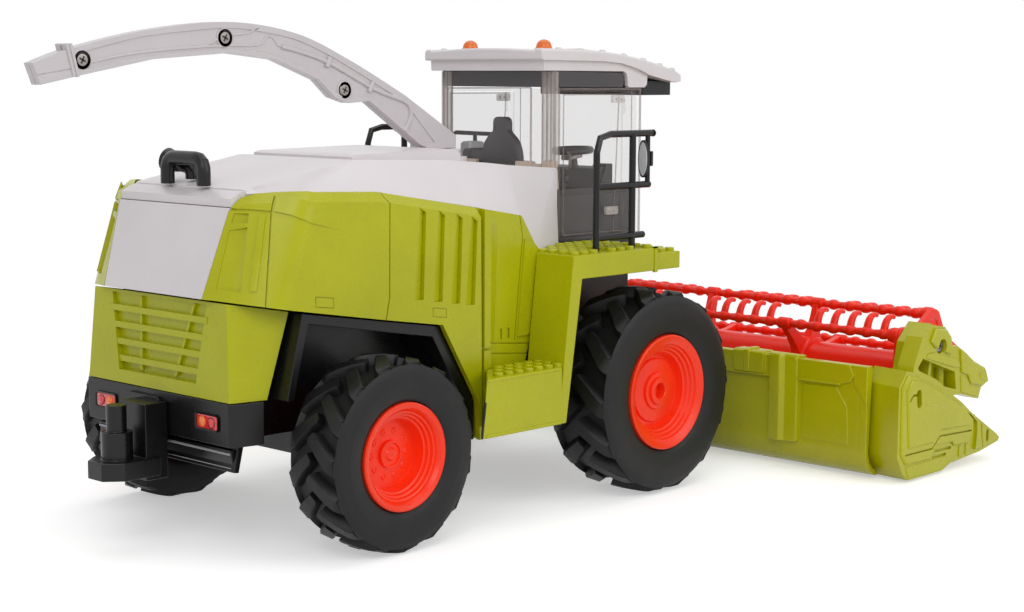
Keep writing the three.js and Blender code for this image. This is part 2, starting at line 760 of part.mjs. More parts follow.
const roof = () => {
  const body = slab(ROOF_PROFILE, -ROOF_HALF, ROOF_HALF);
  const inner = CAB_HALF - 6;
  const hollow = block(
    CAB_REAR_X + 8,
    CAB_FRONT_X - 10,
    -inner,
    inner,
    ROOF_LOW_Z - 1,
    ROOF_LOW_Z + 4,
  );
  const panel = slab(
    [[178, 200], [225, 198], [225, 204.2], [207.8, 206.6], [180, 208.9], [178, 208.4]],
    -27,
    27,
  );
  return join(cut(body, hollow), panel);
};

const roofLamps = () => block(CAB_FRONT_X + 4, 236, -35, 35, 187, 194.6 - GAP);

const beacon = (y) => {
  const profile = [[0, 0], [BEACON_R, 0], [BEACON_R, 1.2]];
  for (let k = 0; k <= 6; k += 1) {
    const angle = (k / 6) * (Math.PI / 2);
    profile.push([(BEACON_R - 0.4) * Math.cos(angle), 1.6 + 3.7 * Math.sin(angle)]);
  }
  profile.at(-1)[0] = 0;
  return turned(profile, [BEACON_X, y, ROOF_TOP_Z + GAP], "z", 28);
};

add("cab_glass", cabShell(), CLEAR);
addPair("cab_door", door(), CLEAR);
add("cab_tub", cabTub(), CAB_BLACK);
add("driver_seat", seat(), CAB_BLACK);
add("steering_wheel", steering(), CAB_BLACK);
add("roof_frame", roofFrame(), BLACK);
add("cab_roof", roof(), WHITE);
add("roof_lamps", roofLamps(), BLACK);
add("beacon_right", beacon(-BEACON_Y), AMBER);
add("beacon_left", beacon(BEACON_Y), AMBER);

// ---------------------------------------------------------------- spout
// Side outline of the discharge spout, split into two half shells.
const SPOUT_TOP = [
  [SPOUT_TIP_X, 200.8],
  [-98.3, 206.8],
  [-60, 215],
  [-21, 218.7],
  [15, 214.6],
  [46, 203.3],
  [79.7, 187.5],
];
const SPOUT_LOW = [
  [89.1, 164.5],
  [57.9, 184.9],
  [45.8, 184.1],
  [36.9, 186.8],
  [28, 194.5],
  [4, 203.2],
  [-21.3, 205.7],
  [-60, 202.8],
  [-94.1, 196.3],
  [SPOUT_TIP_X + 3.2, 192.4],
];

const spoutOutline = () => {
  const shape = new THREE.Shape();
  const base = SPOUT_BASE_TOP_Z + GAP;
  shape.moveTo(...SPOUT_TOP[0]);
  shape.splineThru(SPOUT_TOP.slice(1).map(([x, z]) => new THREE.Vector2(x, z)));
  shape.lineTo(SPOUT_X + 9, base + 6);
  shape.lineTo(SPOUT_X + 9, base);
  shape.lineTo(SPOUT_X - 9, base);
  shape.lineTo(...SPOUT_LOW[0]);
  for (const [x, z] of SPOUT_LOW.slice(1)) shape.lineTo(x, z);
  return shape;
};

const SPOUT_BASE_TOP_Z = 162;
const spoutHalf = () => slab(spoutOutline(), -SPOUT_WIDTH / 2, -GAP / 2, 5);
const turntable = () => rod([SPOUT_X, 0, 158.2 + GAP], [SPOUT_X, 0, SPOUT_BASE_TOP_Z], SPOUT_BASE_R, 36);

addPair("spout_half", spoutHalf(), WHITE);
add("spout_turntable", turntable(), WHITE);

// ---------------------------------------------------------------- axles
const REAR_MID_Y = REAR_TRACK_OUT - REAR_TYRE_W / 2;
const FRONT_MID_Y = FRONT_TRACK_OUT - FRONT_TYRE_W / 2;

const EAR_FORK = 3; // thickness of each ear of the fork that holds a kingpin

const upright = (y, z0, z1, radius) => rod([0, y, z0], [0, y, z1], radius, 24);

const rearAxle = () => {
  const z = REAR_TYRE_R;
  const half = AXLE_BEAM / 2;
  const end = KINGPIN_Y - 6;
  const beam = block(-AXLE_DEPTH / 2, AXLE_DEPTH / 2, -end, end, z - half, z + half);
  const ear = (side, z0) => {
    const z1 = z0 + EAR_FORK;
    const [y0, y1] = [side * (end - 1), side * KINGPIN_Y].sort((a, b) => a - b);
    const lug = join(block(-5, 5, y0, y1, z0, z1), upright(side * KINGPIN_Y, z0, z1, 5));
    return cut(lug, upright(side * KINGPIN_Y, z0 - 1, z1 + 1, KINGPIN_R + PIN_CLEARANCE));
  };
  const ends = [-1, 1].flatMap((side) => [ear(side, z - half), ear(side, z + half - EAR_FORK)]);
  return join(beam, ...ends);
};

const knuckle = () => {
  const z = REAR_TYRE_R;
  const half = AXLE_BEAM / 2;
  const hubHalf = half - EAR_FORK - GAP;
  const pin = upright(-KINGPIN_Y, z - half - 2, z + half + 2, KINGPIN_R);
  const hub = upright(-KINGPIN_Y, z - hubHalf, z + hubHalf, 4.6);
  const stub = rod([0, -KINGPIN_Y, z], [0, -REAR_TRACK_OUT + 10, z], STUB_R, 24);
  return join(pin, hub, stub);
};

const frontAxle = () => {
  const z = FRONT_TYRE_R;
  const half = AXLE_BEAM / 2;
  const beam = block(WHEELBASE - AXLE_DEPTH / 2, WHEELBASE + AXLE_DEPTH / 2, -52, 52, z - half, z + half);
  const shaft = rod([WHEELBASE, -FRONT_TRACK_OUT + 10, z], [WHEELBASE, FRONT_TRACK_OUT - 10, z], STUB_R, 24);
  return join(beam, shaft);
};

add("rear_axle", rearAxle(), BLACK);
addPair("steering_knuckle", knuckle(), BLACK);
add("front_axle", frontAxle(), BLACK);

// ---------------------------------------------------------------- wheels
// Section of a rim for the right-hand side: outer face towards -Y.
const rim = (radius, width, x, midY) => {
  const bore = STUB_R + STUB_CLEARANCE;
  const half = width / 2;
  const dish = -half + 7;
  const web = -half + 11;
  const hub = radius * 0.27;
  const profile = [
    [bore, -half + 5],
    [hub, -half + 5],
    [hub + 1, dish],
    [radius * 0.72, dish + 1.5],
    [radius * 0.8, -half + 1.4],
    [radius * 0.98, -half],
    [radius * 0.98, half],
    [radius * 0.84, half],
    [radius * 0.8, web + 3],
    [hub + 2, web],
    [hub + 1, half - 2],
    [bore, half - 2],
    [bore, -half + 5],
  ];
  return turned(profile, [x, -midY, radius === REAR_RIM_R ? REAR_TYRE_R : FRONT_TYRE_R], "y", 36);
};

const tyre = (tyreR, rimR, width, x, midY) => {
  const half = width / 2;
  const bead = rimR * 0.98 + GAP;
  const shoulder = tyreR - 5;
  const profile = [
    [bead, -half + 0.6],
    [bead + 2.5, -half],
    [shoulder - 6, -half],
    [shoulder, -half + 1],
    [tyreR - 1, -half + 4],
    [tyreR, -half + 9],
    [tyreR, half - 9],
    [tyreR - 1, half - 4],
    [shoulder, half - 1],
    [shoulder - 6, half],
    [bead + 2.5, half],
    [bead, half - 0.6],
    [bead, -half + 0.6],
  ];
  return turned(profile, [x, -midY, tyreR], "y", 48);
};

addPair("rear_rim", rim(REAR_RIM_R, REAR_TYRE_W, 0, REAR_MID_Y), ORANGE);
addPair("rear_tyre", tyre(REAR_TYRE_R, REAR_RIM_R, REAR_TYRE_W, 0, REAR_MID_Y), RUBBER);
addPair("front_rim", rim(FRONT_RIM_R, FRONT_TYRE_W, WHEELBASE, FRONT_MID_Y), ORANGE);
addPair("front_tyre", tyre(FRONT_TYRE_R, FRONT_RIM_R, FRONT_TYRE_W, WHEELBASE, FRONT_MID_Y), RUBBER);

// ---------------------------------------------------------------- header
const feeder = () => {
  const half = EAR_Y - EAR_THICK / 2 - GAP - 1;
  const neck = slab(
    [
      [LIFT_X + 8, LIFT_Z + 8],
      [TROUGH_REAR_X - GAP, 46],
      [TROUGH_REAR_X - GAP, 20],
      [LIFT_X + 8, LIFT_Z - 12],
    ],
    -half,
    half,
  );
  const boss = rod([LIFT_X, -half, LIFT_Z], [LIFT_X, half, LIFT_Z], 7, 28);
  const web = block(LIFT_X, LIFT_X + 9, -half, half, LIFT_Z - 7, LIFT_Z + 7);
  const pinEnd = EAR_Y + EAR_THICK / 2 + 1.5;
  const pin = rod([LIFT_X, -pinEnd, LIFT_Z], [LIFT_X, pinEnd, LIFT_Z], LIFT_PIN_R, 28);
  return join(neck, boss, web, pin);
};

const troughProfile = (grow) => {
  // outer skin of the trough; grow = wall offset towards the inside
  const outline = [];
  const turnR = TROUGH_BEND_R - grow;
  const cx = TROUGH_REAR_X + TROUGH_BEND_R;
  const cz = TROUGH_LOW_Z + TROUGH_BEND_R;
  for (let k = 0; k <= 8; k += 1) {
    const angle = Math.PI + (k / 8) * (Math.PI / 2);
    outline.push([cx + turnR * Math.cos(angle), cz + turnR * Math.sin(angle)]);
  }
  return outline;
};

const trough = () => {
  const half = HEADER_HALF - END_THICK - GAP;
  const outer = troughProfile(0);
  const inner = troughProfile(TROUGH_WALL).reverse();
  const profile = [
    [TROUGH_REAR_X, TROUGH_TOP_Z],
    ...outer,
    [330, TROUGH_LOW_Z],
    [336, TROUGH_LOW_Z + 1.6],
    [336, TROUGH_LOW_Z + 3.2],
    [330, TROUGH_LOW_Z + TROUGH_WALL + 0.8],
    ...inner,
    [TROUGH_REAR_X + TROUGH_WALL, TROUGH_TOP_Z - 9],
    [TROUGH_REAR_X + 7, TROUGH_TOP_Z - 4],
    [TROUGH_REAR_X + 7, TROUGH_TOP_Z],
  ];
  return slab(profile, -half, half);
};

// End divider with the arm that carries the reel.
const headerEnd = () => {
  const y0 = -HEADER_HALF;
  const y1 = -HEADER_HALF + END_THICK;
  const middle = y0 + END_THICK * 0.43; // the outer plate of the arm ends here
  const at = (y, points) => points.map(([x, z]) => [x, y, z]);
  const outside = [
    [252, 14], [257, 5.6], [262, 1.6], [294, 1.6], [302, 4.2], [331.5, 6], [349.5, 8.8],
    [TIP_X, 10.6], [347.4, 13.1], [333.5, 20.8], [321, 27.7], [311.6, 34], [289.7, 45.4],
    [270, 53.5], [258.6, 55.8], [252, 48.5],
  ];
  const inside = [
    [256, 15], [261.5, 5.6], [264, 1.6], [294, 1.6], [302, 4.2], [327, 6], [340, 8.8],
    [342, 10.6], [339, 13.1], [329, 20.8], [319, 27.7], [310, 34], [289.7, 45.4],
    [272, 53.5], [263, 55.8], [257, 48.5],
  ];
  const body = loft([at(y0, outside), at(y1, inside)]);
  const arm = slab(
    [
      [264, 52], [265, 58], [272, 71], [281, 76.2], [292.6, 74.2], [297, 69.7], [299.3, 63.4],
      [304.8, 63.6], [314, 58.8], [322, 53.8], [333.6, 48.9], [337, 41.7], [330.2, 39.5],
      [327.6, 33.8], [309.4, 38.6], [297, 38.5], [285, 44],
    ],
    y0,
    middle,
  );
  const window = slab(
    [[268.5, 56.2], [273, 60.4], [303.6, 50.4], [305.2, 41.4], [294.8, 43.8], [286, 48.6], [270, 54.6]],
    y0 - 1,
    middle + 1,
  );
  const post = slab(
    [[278, 48], [280, 54], [283, 66], [293, 75], [297, 70], [301, 62], [301, 38]],
    middle - 1,
    y1,
  );
  const pivot = rod([REEL_X, middle - 1, REEL_Z], [REEL_X, y1 + 6, REEL_Z], PIVOT_R, 24);
  const carrier = slab([[299, 56], [320, 52], [321, 40], [299, 40]], middle - 1, y1);
  return join(body, cut(arm, window), post, carrier, pivot);
};

// Reel: a tube with five spiders, and six bats that run through their tips.
const REEL_HALF = HEADER_HALF - END_THICK - 1.5;
const batAngles = Array.from({ length: REEL_BATS }, (_, k) => ((k + 0.243) * 2 * Math.PI) / REEL_BATS);
const onReel = (angle, radius) => [REEL_X + radius * Math.cos(angle), REEL_Z + radius * Math.sin(angle)];
const batRod = (angle, radius) => {
  const [x, z] = onReel(angle, REEL_R);
  return rod([x, -REEL_HALF, z], [x, REEL_HALF, z], radius, 12);
};

const reelCore = () => {
  const spider = (share, waist) => {
    const y = share * (REEL_HALF - 1.5);
    const half = Math.PI / REEL_BATS;
    const corners = batAngles.flatMap((angle) => [
      onReel(angle - 0.1, REEL_R + 2.6),
      onReel(angle + 0.1, REEL_R + 2.6),
      onReel(angle + half * 0.72, waist * REEL_R),
      onReel(angle + half * 1.28, waist * REEL_R),
    ]);
    return slab(corners, y - 1.3, y + 1.3);
  };
  const tube = rod([REEL_X, -REEL_HALF, REEL_Z], [REEL_X, REEL_HALF, REEL_Z], REEL_TUBE_R, 32);
  const spiders = [spider(-1, 0.72), spider(-0.5, 0.4), spider(0, 0.4), spider(0.5, 0.4), spider(1, 0.72)];
  const bores = [-1, 1].map((side) =>
    rod(
      [REEL_X, side * (REEL_HALF + 1), REEL_Z],
      [REEL_X, side * (REEL_HALF - 9), REEL_Z],
      PIVOT_R + PIN_CLEARANCE,
      24,
    ),
  );
  const batHoles = batAngles.map((angle) => batRod(angle, BAT_R + GAP / 2));
  return cut(join(tube, ...spiders), ...bores, ...batHoles);
};

add("feeder_neck", feeder(), BLACK);
add("header_trough", trough(), HEADER_GREEN);
addPair("header_end", headerEnd(), HEADER_GREEN);
add("reel_core", reelCore(), RED);
batAngles.forEach((angle, k) => add(`reel_bat_${k + 1}`, batRod(angle, BAT_R), RED));

// ---------------------------------------------------------------- result
const model = new THREE.Group();
machine.position.x = -(SPOUT_TIP_X + TIP_X) / 2;
model.add(machine);

export default model;
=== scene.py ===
"""Toy forage harvester with a reel header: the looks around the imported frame.

Lengths are in millimetres in the helpers, measured from the rear axle along X,
from the middle along Y and from the ground along Z; mm() turns them into the
row frame in metres.
"""
import json
import math

import bmesh
import bpy
from mathutils import Matrix, Vector
from mathutils.bvhtree import BVHTree


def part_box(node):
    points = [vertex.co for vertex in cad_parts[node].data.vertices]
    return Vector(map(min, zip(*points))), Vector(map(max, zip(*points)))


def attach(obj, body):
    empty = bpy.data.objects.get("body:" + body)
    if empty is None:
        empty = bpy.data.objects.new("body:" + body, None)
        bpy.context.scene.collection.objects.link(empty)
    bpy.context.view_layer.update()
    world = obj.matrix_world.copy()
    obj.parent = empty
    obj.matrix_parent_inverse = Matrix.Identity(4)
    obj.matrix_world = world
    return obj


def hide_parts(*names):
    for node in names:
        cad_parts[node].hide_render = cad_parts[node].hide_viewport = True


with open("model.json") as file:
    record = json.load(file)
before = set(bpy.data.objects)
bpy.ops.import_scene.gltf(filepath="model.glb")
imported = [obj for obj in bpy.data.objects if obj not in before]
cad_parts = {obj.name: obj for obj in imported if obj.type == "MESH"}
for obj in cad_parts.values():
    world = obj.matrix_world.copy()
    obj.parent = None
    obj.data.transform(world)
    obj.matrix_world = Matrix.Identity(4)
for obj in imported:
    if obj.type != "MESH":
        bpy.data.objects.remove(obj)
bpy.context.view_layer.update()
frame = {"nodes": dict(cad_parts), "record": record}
NODES = frame["nodes"]


def centre_of(node):
    low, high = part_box(node)
    return (low + high) / 2


AXLE_X = centre_of("rear_rim_right").x  # metres


def mm(x, y, z):
    return Vector((AXLE_X + x / 1000, y / 1000, z / 1000))


# ------------------------------------------------------------------ materials
def linear(value):
    value /= 255
    return value / 12.92 if value <= 0.04045 else ((value + 0.055) / 1.055) ** 2.4


def colour(rgb, factor=1.0):
    return (*(min(1.0, linear(c) * factor) for c in rgb), 1.0)


def noise(tree, coords, scale, detail=2.0, roughness=0.5):
    node = tree.nodes.new("ShaderNodeTexNoise")
    node.inputs["Scale"].default_value = scale
    node.inputs["Detail"].default_value = detail
    node.inputs["Roughness"].default_value = roughness
    tree.links.new(coords, node.inputs["Vector"])
    return node.outputs["Fac"]


def spread(tree, factor, low, high):
    node = tree.nodes.new("ShaderNodeMapRange")
    node.inputs["From Min"].default_value = 0.3
    node.inputs["From Max"].default_value = 0.7
    node.inputs["To Min"].default_value = low
    node.inputs["To Max"].default_value = high
    tree.links.new(factor, node.inputs["Value"])
    return node.outputs["Result"]


def plastic(name, rgb, rough=(0.3, 0.36), grain=0.02, grain_size=0.9, tone=0.05, coat=0.0,
            specular=0.5, swirl=0.0):
    """Moulded plastic: slow tone drift, fine grain in the relief, uneven gloss."""
    material = bpy.data.materials.new(name)
    material.use_nodes = True
    tree = material.node_tree
    shader = tree.nodes["Principled BSDF"]
    coords = tree.nodes.new("ShaderNodeTexCoord").outputs["Object"]
    drift = noise(tree, coords, 38.0, 3.0, 0.55)
    mix = tree.nodes.new("ShaderNodeMix")
    mix.data_type = "RGBA"
    mix.inputs["A"].default_value = colour(rgb, 1 - tone)
    mix.inputs["B"].default_value = colour(rgb, 1 + tone)
    tree.links.new(spread(tree, drift, 0.0, 1.0), mix.inputs["Factor"])
    tree.links.new(mix.outputs["Result"], shader.inputs["Base Color"])
    gloss = noise(tree, coords, 120.0, 4.0, 0.6)
    tree.links.new(spread(tree, gloss, rough[0], rough[1]), shader.inputs["Roughness"])
    fine = noise(tree, coords, 1000.0 / grain_size, 2.0, 0.6)
    bump = tree.nodes.new("ShaderNodeBump")
    bump.inputs["Strength"].default_value = 1.0
    bump.inputs["Distance"].default_value = grain / 1000
    tree.links.new(fine, bump.inputs["Height"])
    normal = bump.outputs["Normal"]
    if swirl:
        wave = noise(tree, coords, 26.0, 1.0, 0.4)
        second = tree.nodes.new("ShaderNodeBump")
        second.inputs["Strength"].default_value = 1.0
        second.inputs["Distance"].default_value = swirl / 1000
        tree.links.new(wave, second.inputs["Height"])
        tree.links.new(normal, second.inputs["Normal"])
        normal = second.outputs["Normal"]
    tree.links.new(normal, shader.inputs["Normal"])
    shader.inputs["Specular IOR Level"].default_value = specular
    shader.inputs["Coat Weight"].default_value = coat
    shader.inputs["Coat Roughness"].default_value = 0.12
    return material


def tinted_clear(name, rgb, alpha=0.25, rough=0.05, transmission=0.0):
    """Clear moulded sheet: mostly see-through, with a gloss and faint waviness."""
    material = plastic(name, rgb, rough=(rough, rough + 0.04), grain=0.004, grain_size=6, tone=0.02,
                       coat=0.0, swirl=0.15)
    shader = material.node_tree.nodes["Principled BSDF"]
    shader.inputs["Alpha"].default_value = alpha
    shader.inputs["Transmission Weight"].default_value = transmission
    return material


MATERIALS = {
    "green": plastic("moulded_green", (177, 179, 8), rough=(0.25, 0.31), swirl=0.06, specular=0.34),
    "header_green": plastic("moulded_header_green", (179, 178, 4), rough=(0.23, 0.29), swirl=0.06,
                            specular=0.36),
    "white": plastic("moulded_white", (221, 215, 217), rough=(0.3, 0.36), tone=0.02, swirl=0.05),
    "spout_white": plastic("moulded_spout_white", (202, 196, 198), rough=(0.3, 0.36), tone=0.02,
                           swirl=0.05),
    "black": plastic("moulded_black", (13, 13, 14), rough=(0.26, 0.34), tone=0.12, grain=0.03,
                     specular=0.36),
    "cab_black": plastic("moulded_charcoal", (46, 45, 48), rough=(0.38, 0.46), tone=0.08),
    "trim_black": plastic("cab_trim_black", (24, 24, 26), rough=(0.3, 0.38), tone=0.08),
    "tint": plastic("tinted_band", (62, 59, 61), rough=(0.16, 0.22), tone=0.05),
    "clear": tinted_clear("clear_sheet", (176, 168, 168), alpha=0.085),
    "clear_post": tinted_clear("clear_post", (226, 218, 214), alpha=0.4, rough=0.1),
    "clear_edge": tinted_clear("clear_edge", (150, 136, 130), alpha=0.36, rough=0.1),
    "cream": plastic("cream_clip", (204, 186, 170), rough=(0.3, 0.4)),
    "grey_trim": plastic("grey_trim", (186, 187, 190), rough=(0.2, 0.28)),
    "amber": tinted_clear("amber_lens", (240, 112, 0), alpha=0.9, rough=0.1),
    "orange": plastic("moulded_orange", (253, 54, 14), rough=(0.26, 0.32), tone=0.04,
                      specular=0.36),
    "red": plastic("moulded_red", (255, 42, 14), rough=(0.3, 0.36), tone=0.05, specular=0.3),
    "lamp_red": plastic("lamp_red", (222, 52, 58), rough=(0.12, 0.18), coat=0.5, tone=0.06),
    "lamp_orange": plastic("lamp_orange", (248, 118, 26), rough=(0.12, 0.18), coat=0.5, tone=0.06),
    "lamp_dark": plastic("lamp_dark_red", (120, 22, 32), rough=(0.2, 0.28), tone=0.06),
    # painted reflection: pale grey for the floor shining in the bumper's lower edge
    "painted_floor_reflection": plastic("painted_floor_reflection", (150, 150, 152), rough=(0.3, 0.4)),
    # painted shadow: near black for the shade in the screws' cross recesses and round their heads
    "painted_screw_shadow": plastic("screw_shadow", (40, 38, 38), rough=(0.5, 0.6)),
    "tyre": plastic("soft_vinyl_tyre", (19, 19, 20), rough=(0.42, 0.55), specular=0.3, tone=0.15,
                    grain=0.05,
                    grain_size=1.4),
}


def steel(name, rgb):
    """Zinc-plated screw: bright metal with a turned, slightly uneven face."""
    material = plastic(name, rgb, rough=(0.24, 0.38), grain=0.02, grain_size=0.5, tone=0.12)
    material.node_tree.nodes["Principled BSDF"].inputs["Metallic"].default_value = 1.0
    return material


MATERIALS["steel"] = steel("zinc_screw", (150, 144, 140))


FLAT_ENOUGH = 0.4  # degrees between faces that count as one flat face


def soften(piece, width=0.35, angle=32.0):
    """Rounds a piece's edges the way a mould does, without moving its faces."""
    weld = piece.modifiers.new("weld", "WELD")
    weld.merge_threshold = 0.000002
    planes = piece.modifiers.new("planes", "DECIMATE")
    planes.decimate_type = "DISSOLVE"
    planes.angle_limit = math.radians(FLAT_ENOUGH)
    bevel = piece.modifiers.new("rounding", "BEVEL")
    bevel.width = width / 1000
    bevel.segments = 2
    bevel.limit_method = "ANGLE"
    bevel.angle_limit = math.radians(angle)
    bevel.use_clamp_overlap = True
    bevel.harden_normals = False
    for polygon in piece.data.polygons:
        polygon.use_smooth = True
    smooth = piece.modifiers.new("normals", "WEIGHTED_NORMAL")
    smooth.keep_sharp = True
    smooth.weight = 80


SLOT_OF = {part["node"]: part["material_slot"] for part in frame["record"]["subparts"]}
for node_name, node in NODES.items():
    node.data.materials.clear()
    node.data.materials.append(MATERIALS[SLOT_OF[node_name]])
    soften(node)

# ------------------------------------------------------------------ mesh tools
class Bits:
    """Closed bits of one piece, in millimetres from the rear axle."""

    def __init__(self):
        self.points = []
        self.faces = []

    def add(self, points, faces):
        start = len(self.points)
        self.points += [tuple(p) for p in points]
        self.faces += [tuple(i + start for i in face) for face in faces]
        return self

    def loft(self, rings, closed=False):
        count = len(rings[0])
        points = [p for ring in rings for p in ring]
        faces = []
        for k in range(len(rings) if closed else len(rings) - 1):
            a = k * count
            b = ((k + 1) % len(rings)) * count
            for i in range(count):
                j = (i + 1) % count
                faces.append((a + i, a + j, b + j, b + i))
        if not closed:
            faces.append(tuple(reversed(range(count))))
            faces.append(tuple(range((len(rings) - 1) * count, len(rings) * count)))
        return self.add(points, faces)

    def prism(self, outline, axis, low, high):
        """An outline in the other two axes, drawn out along one."""
        def put(a, b, t):
            return {"x": (t, a, b), "y": (a, t, b), "z": (a, b, t)}[axis]
        return self.loft([[put(a, b, t) for a, b in outline] for t in (low, high)])

    def block(self, x0, x1, y0, y1, z0, z1):
        return self.prism([(x0, y0), (x1, y0), (x1, y1), (x0, y1)], "z", z0, z1)

    def lathe(self, profile, centre, axis, sides=24, closed=False, start=0.0):
        """Rings of (radius, along) about an axis; closed joins the last to the first."""
        along = Vector(axis).normalized()
        side = along.orthogonal().normalized()
        other = along.cross(side)
        rings = []
        for radius, t in profile:
            ring = []
            for i in range(sides):
                turn = start + 2 * math.pi * i / sides
                spoke = math.cos(turn) * side + math.sin(turn) * other
                ring.append(Vector(centre) + along * t + spoke * max(radius, 0.01))
            rings.append(ring)
        return self.loft(rings, closed)

    def tube(self, path, radius, sides=10, closed=False):
        """A round bar along a path; radius is one value or one for each point."""
        path = [Vector(p) for p in path]
        radii = radius if hasattr(radius, "__len__") else [radius] * len(path)
        last = len(path) - 1
        side = None
        rings = []
        for i, point in enumerate(path):
            before = path[i - 1] if i else (path[last] if closed else path[0])
            after = path[i + 1] if i < last else (path[0] if closed else path[last])
            heading = (after - before).normalized()
            if side is None:
                side = heading.orthogonal().normalized()
            side = (side - heading * side.dot(heading)).normalized()
            other = heading.cross(side)
            rings.append([
                point + radii[i] * (math.cos(a) * side + math.sin(a) * other)
                for a in (2 * math.pi * k / sides for k in range(sides))
            ])
        return self.loft(rings, closed)

    def stroke(self, samples, section, scale=None):
        """A section of (across, out) points swept along surface samples (point, normal)."""
        rings = []
        for i, (point, normal) in enumerate(samples):
            before = samples[max(i - 1, 0)][0]
            after = samples[min(i + 1, len(samples) - 1)][0]
            across = (after - before).normalized().cross(normal).normalized()
            size = scale[i] if scale else 1.0
            rings.append([point + across * a + normal * (b * size if b > 0 else b)
                          for a, b in section])
        return self.loft(rings)

    def mirrored(self):
        twin = Bits()
        twin.points = [(x, -y, z) for x, y, z in self.points]
        twin.faces = [tuple(reversed(face)) for face in self.faces]
        return twin

    def mesh(self, name):
        data = bpy.data.meshes.new(name)
        data.from_pydata([mm(*p) for p in self.points], [], self.faces)
        work = bmesh.new()
        work.from_mesh(data)
        bmesh.ops.recalc_face_normals(work, faces=work.faces)
        work.to_mesh(data)
        work.free()
        return data


def shaded(piece, angle=35.0):
    """Smooth shading that keeps edges sharper than the angle."""
    for polygon in piece.data.polygons:
        polygon.use_smooth = True
    piece.data.set_sharp_from_angle(angle=math.radians(angle))


def finish_piece(piece, material, body, stands_for=()):
    piece.data.materials.clear()
    piece.data.materials.append(MATERIALS[material] if isinstance(material, str) else material)
    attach(piece, body)
    if stands_for:
        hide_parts(*stands_for)
    return piece


def put(name, bits, material, body, slot=None, stands_for=(), rounding=0.0, angle=35.0):
    """Makes one piece from bits and lets it ride on a body."""
    piece = bpy.data.objects.new(name, bits.mesh(name))
    bpy.context.scene.collection.objects.link(piece)
    if rounding:
        soften(piece, rounding, angle)
    else:
        shaded(piece, angle)
    return finish_piece(piece, material, body, stands_for)


def put_pair(name, bits, material, body, slot=None, stands_for="", rounding=0.0, angle=35.0):
    """The right-hand piece and its mirror image; body and stands_for may hold {side}."""
    for side, made in (("right", bits), ("left", bits.mirrored())):
        nodes = (stands_for.format(side=side),) if stands_for else ()
        put(f"{name}_{side}", made, material, body.format(side=side), slot, nodes, rounding, angle)


# ------------------------------------------------------------------ wheels
LUGS = {"rear": 15, "front": 14}
WHEELS = {}
for axle in ("rear", "front"):
    tyre_low, tyre_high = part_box(f"{axle}_tyre_right")
    rim_low, rim_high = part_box(f"{axle}_rim_right")
    middle = (tyre_low + tyre_high) / 2
    WHEELS[axle] = {
        "x": (middle.x - AXLE_X) * 1000,
        "y": middle.y * 1000,
        "z": middle.z * 1000,
        "radius": (tyre_high.z - tyre_low.z) * 500,
        "half": (tyre_high.y - tyre_low.y) * 500,
        "rim": (rim_high.z - rim_low.z) * 500,
    }


def along(table, t):
    """The point at t (0 to 1) on a line of points spaced evenly in t."""
    place = t * (len(table) - 1)
    i = min(int(place), len(table) - 2)
    share = place - i
    return [a + (b - a) * share for a, b in zip(table[i], table[i + 1])]


def tyre_bits(wheel, lugs):
    """Carcass with scooped shoulders, and chevron lugs that lead at the middle."""
    radius, half, rim = wheel["radius"], wheel["half"], wheel["rim"]
    centre = (wheel["x"], wheel["y"], wheel["z"])
    deep = 0.105 * radius
    root = [
        (radius - deep, 0.0),
        (radius - deep - 0.1, half * 0.4),
        (radius - deep - 0.3, half * 0.66),
        (radius - deep - 0.2, half * 0.82),
        (radius - 2.7, half * 0.93),
    ]
    crown = [
        (radius, 0.0),
        (radius - 0.1, half * 0.4),
        (radius - 0.4, half * 0.66),
        (radius - 0.9, half * 0.82),
        (radius - 2.3, half * 0.94),
    ]
    bead = rim + 0.35
    wall = [
        (radius - 4.0, half * 0.968),
        (radius - 6.2, half * 0.99),
        (radius - deep - 6.0, half * 1.0),
        ((radius + bead) / 2 - 1, half * 1.0),
        (bead + 2.6, half * 0.985),
        (bead + 1.2, half * 0.95),
        (bead, half * 0.9),
    ]
    outer = root + wall
    section = [(r, -t) for r, t in reversed(outer)] + outer[1:]
    bits = Bits()
    bits.lathe(section, centre, (0, 1, 0), 96, closed=True)
    pitch = 2 * math.pi / lugs
    for side in (-1, 1):
        for k in range(lugs):
            lead = k * pitch + (pitch / 2 if side > 0 else 0)
            rings = []
            steps = 14
            for i in range(steps + 1):
                t = i / steps
                turn = lead - 0.30 * (1 - (1 - t) ** 1.75)
                r_top, y_top = along(crown, t)
                r_low, y_low = along(root, t)
                y_top -= 1.2 * (1 - t)
                y_low -= 1.2 * (1 - t)
                width = (0.125 + 0.05 * t) * radius / 2
                slope = 0.30 * 1.75 * (1 - t) ** 0.75 * radius / half
                skew = width * slope / math.hypot(1, slope)
                flat = width / math.hypot(1, slope)
                ring = []
                for across, top in ((-1.35, 0), (-1.06, 0.78), (-0.86, 1), (0.86, 1), (1.06, 0.78),
                                    (1.35, 0)):
                    r = (r_low - 0.8) + (r_top - r_low + 0.8) * top
                    y = y_low + (y_top - y_low) * top + (across * skew if t < 0.9 else 0)
                    y = min(max(y, -1.5), half)
                    a = turn + across * flat / radius
                    ring.append((centre[0] + r * math.sin(a), centre[1] + side * y,
                                 centre[2] + r * math.cos(a)))
                rings.append(ring)
            bits.loft(rings)
    return bits


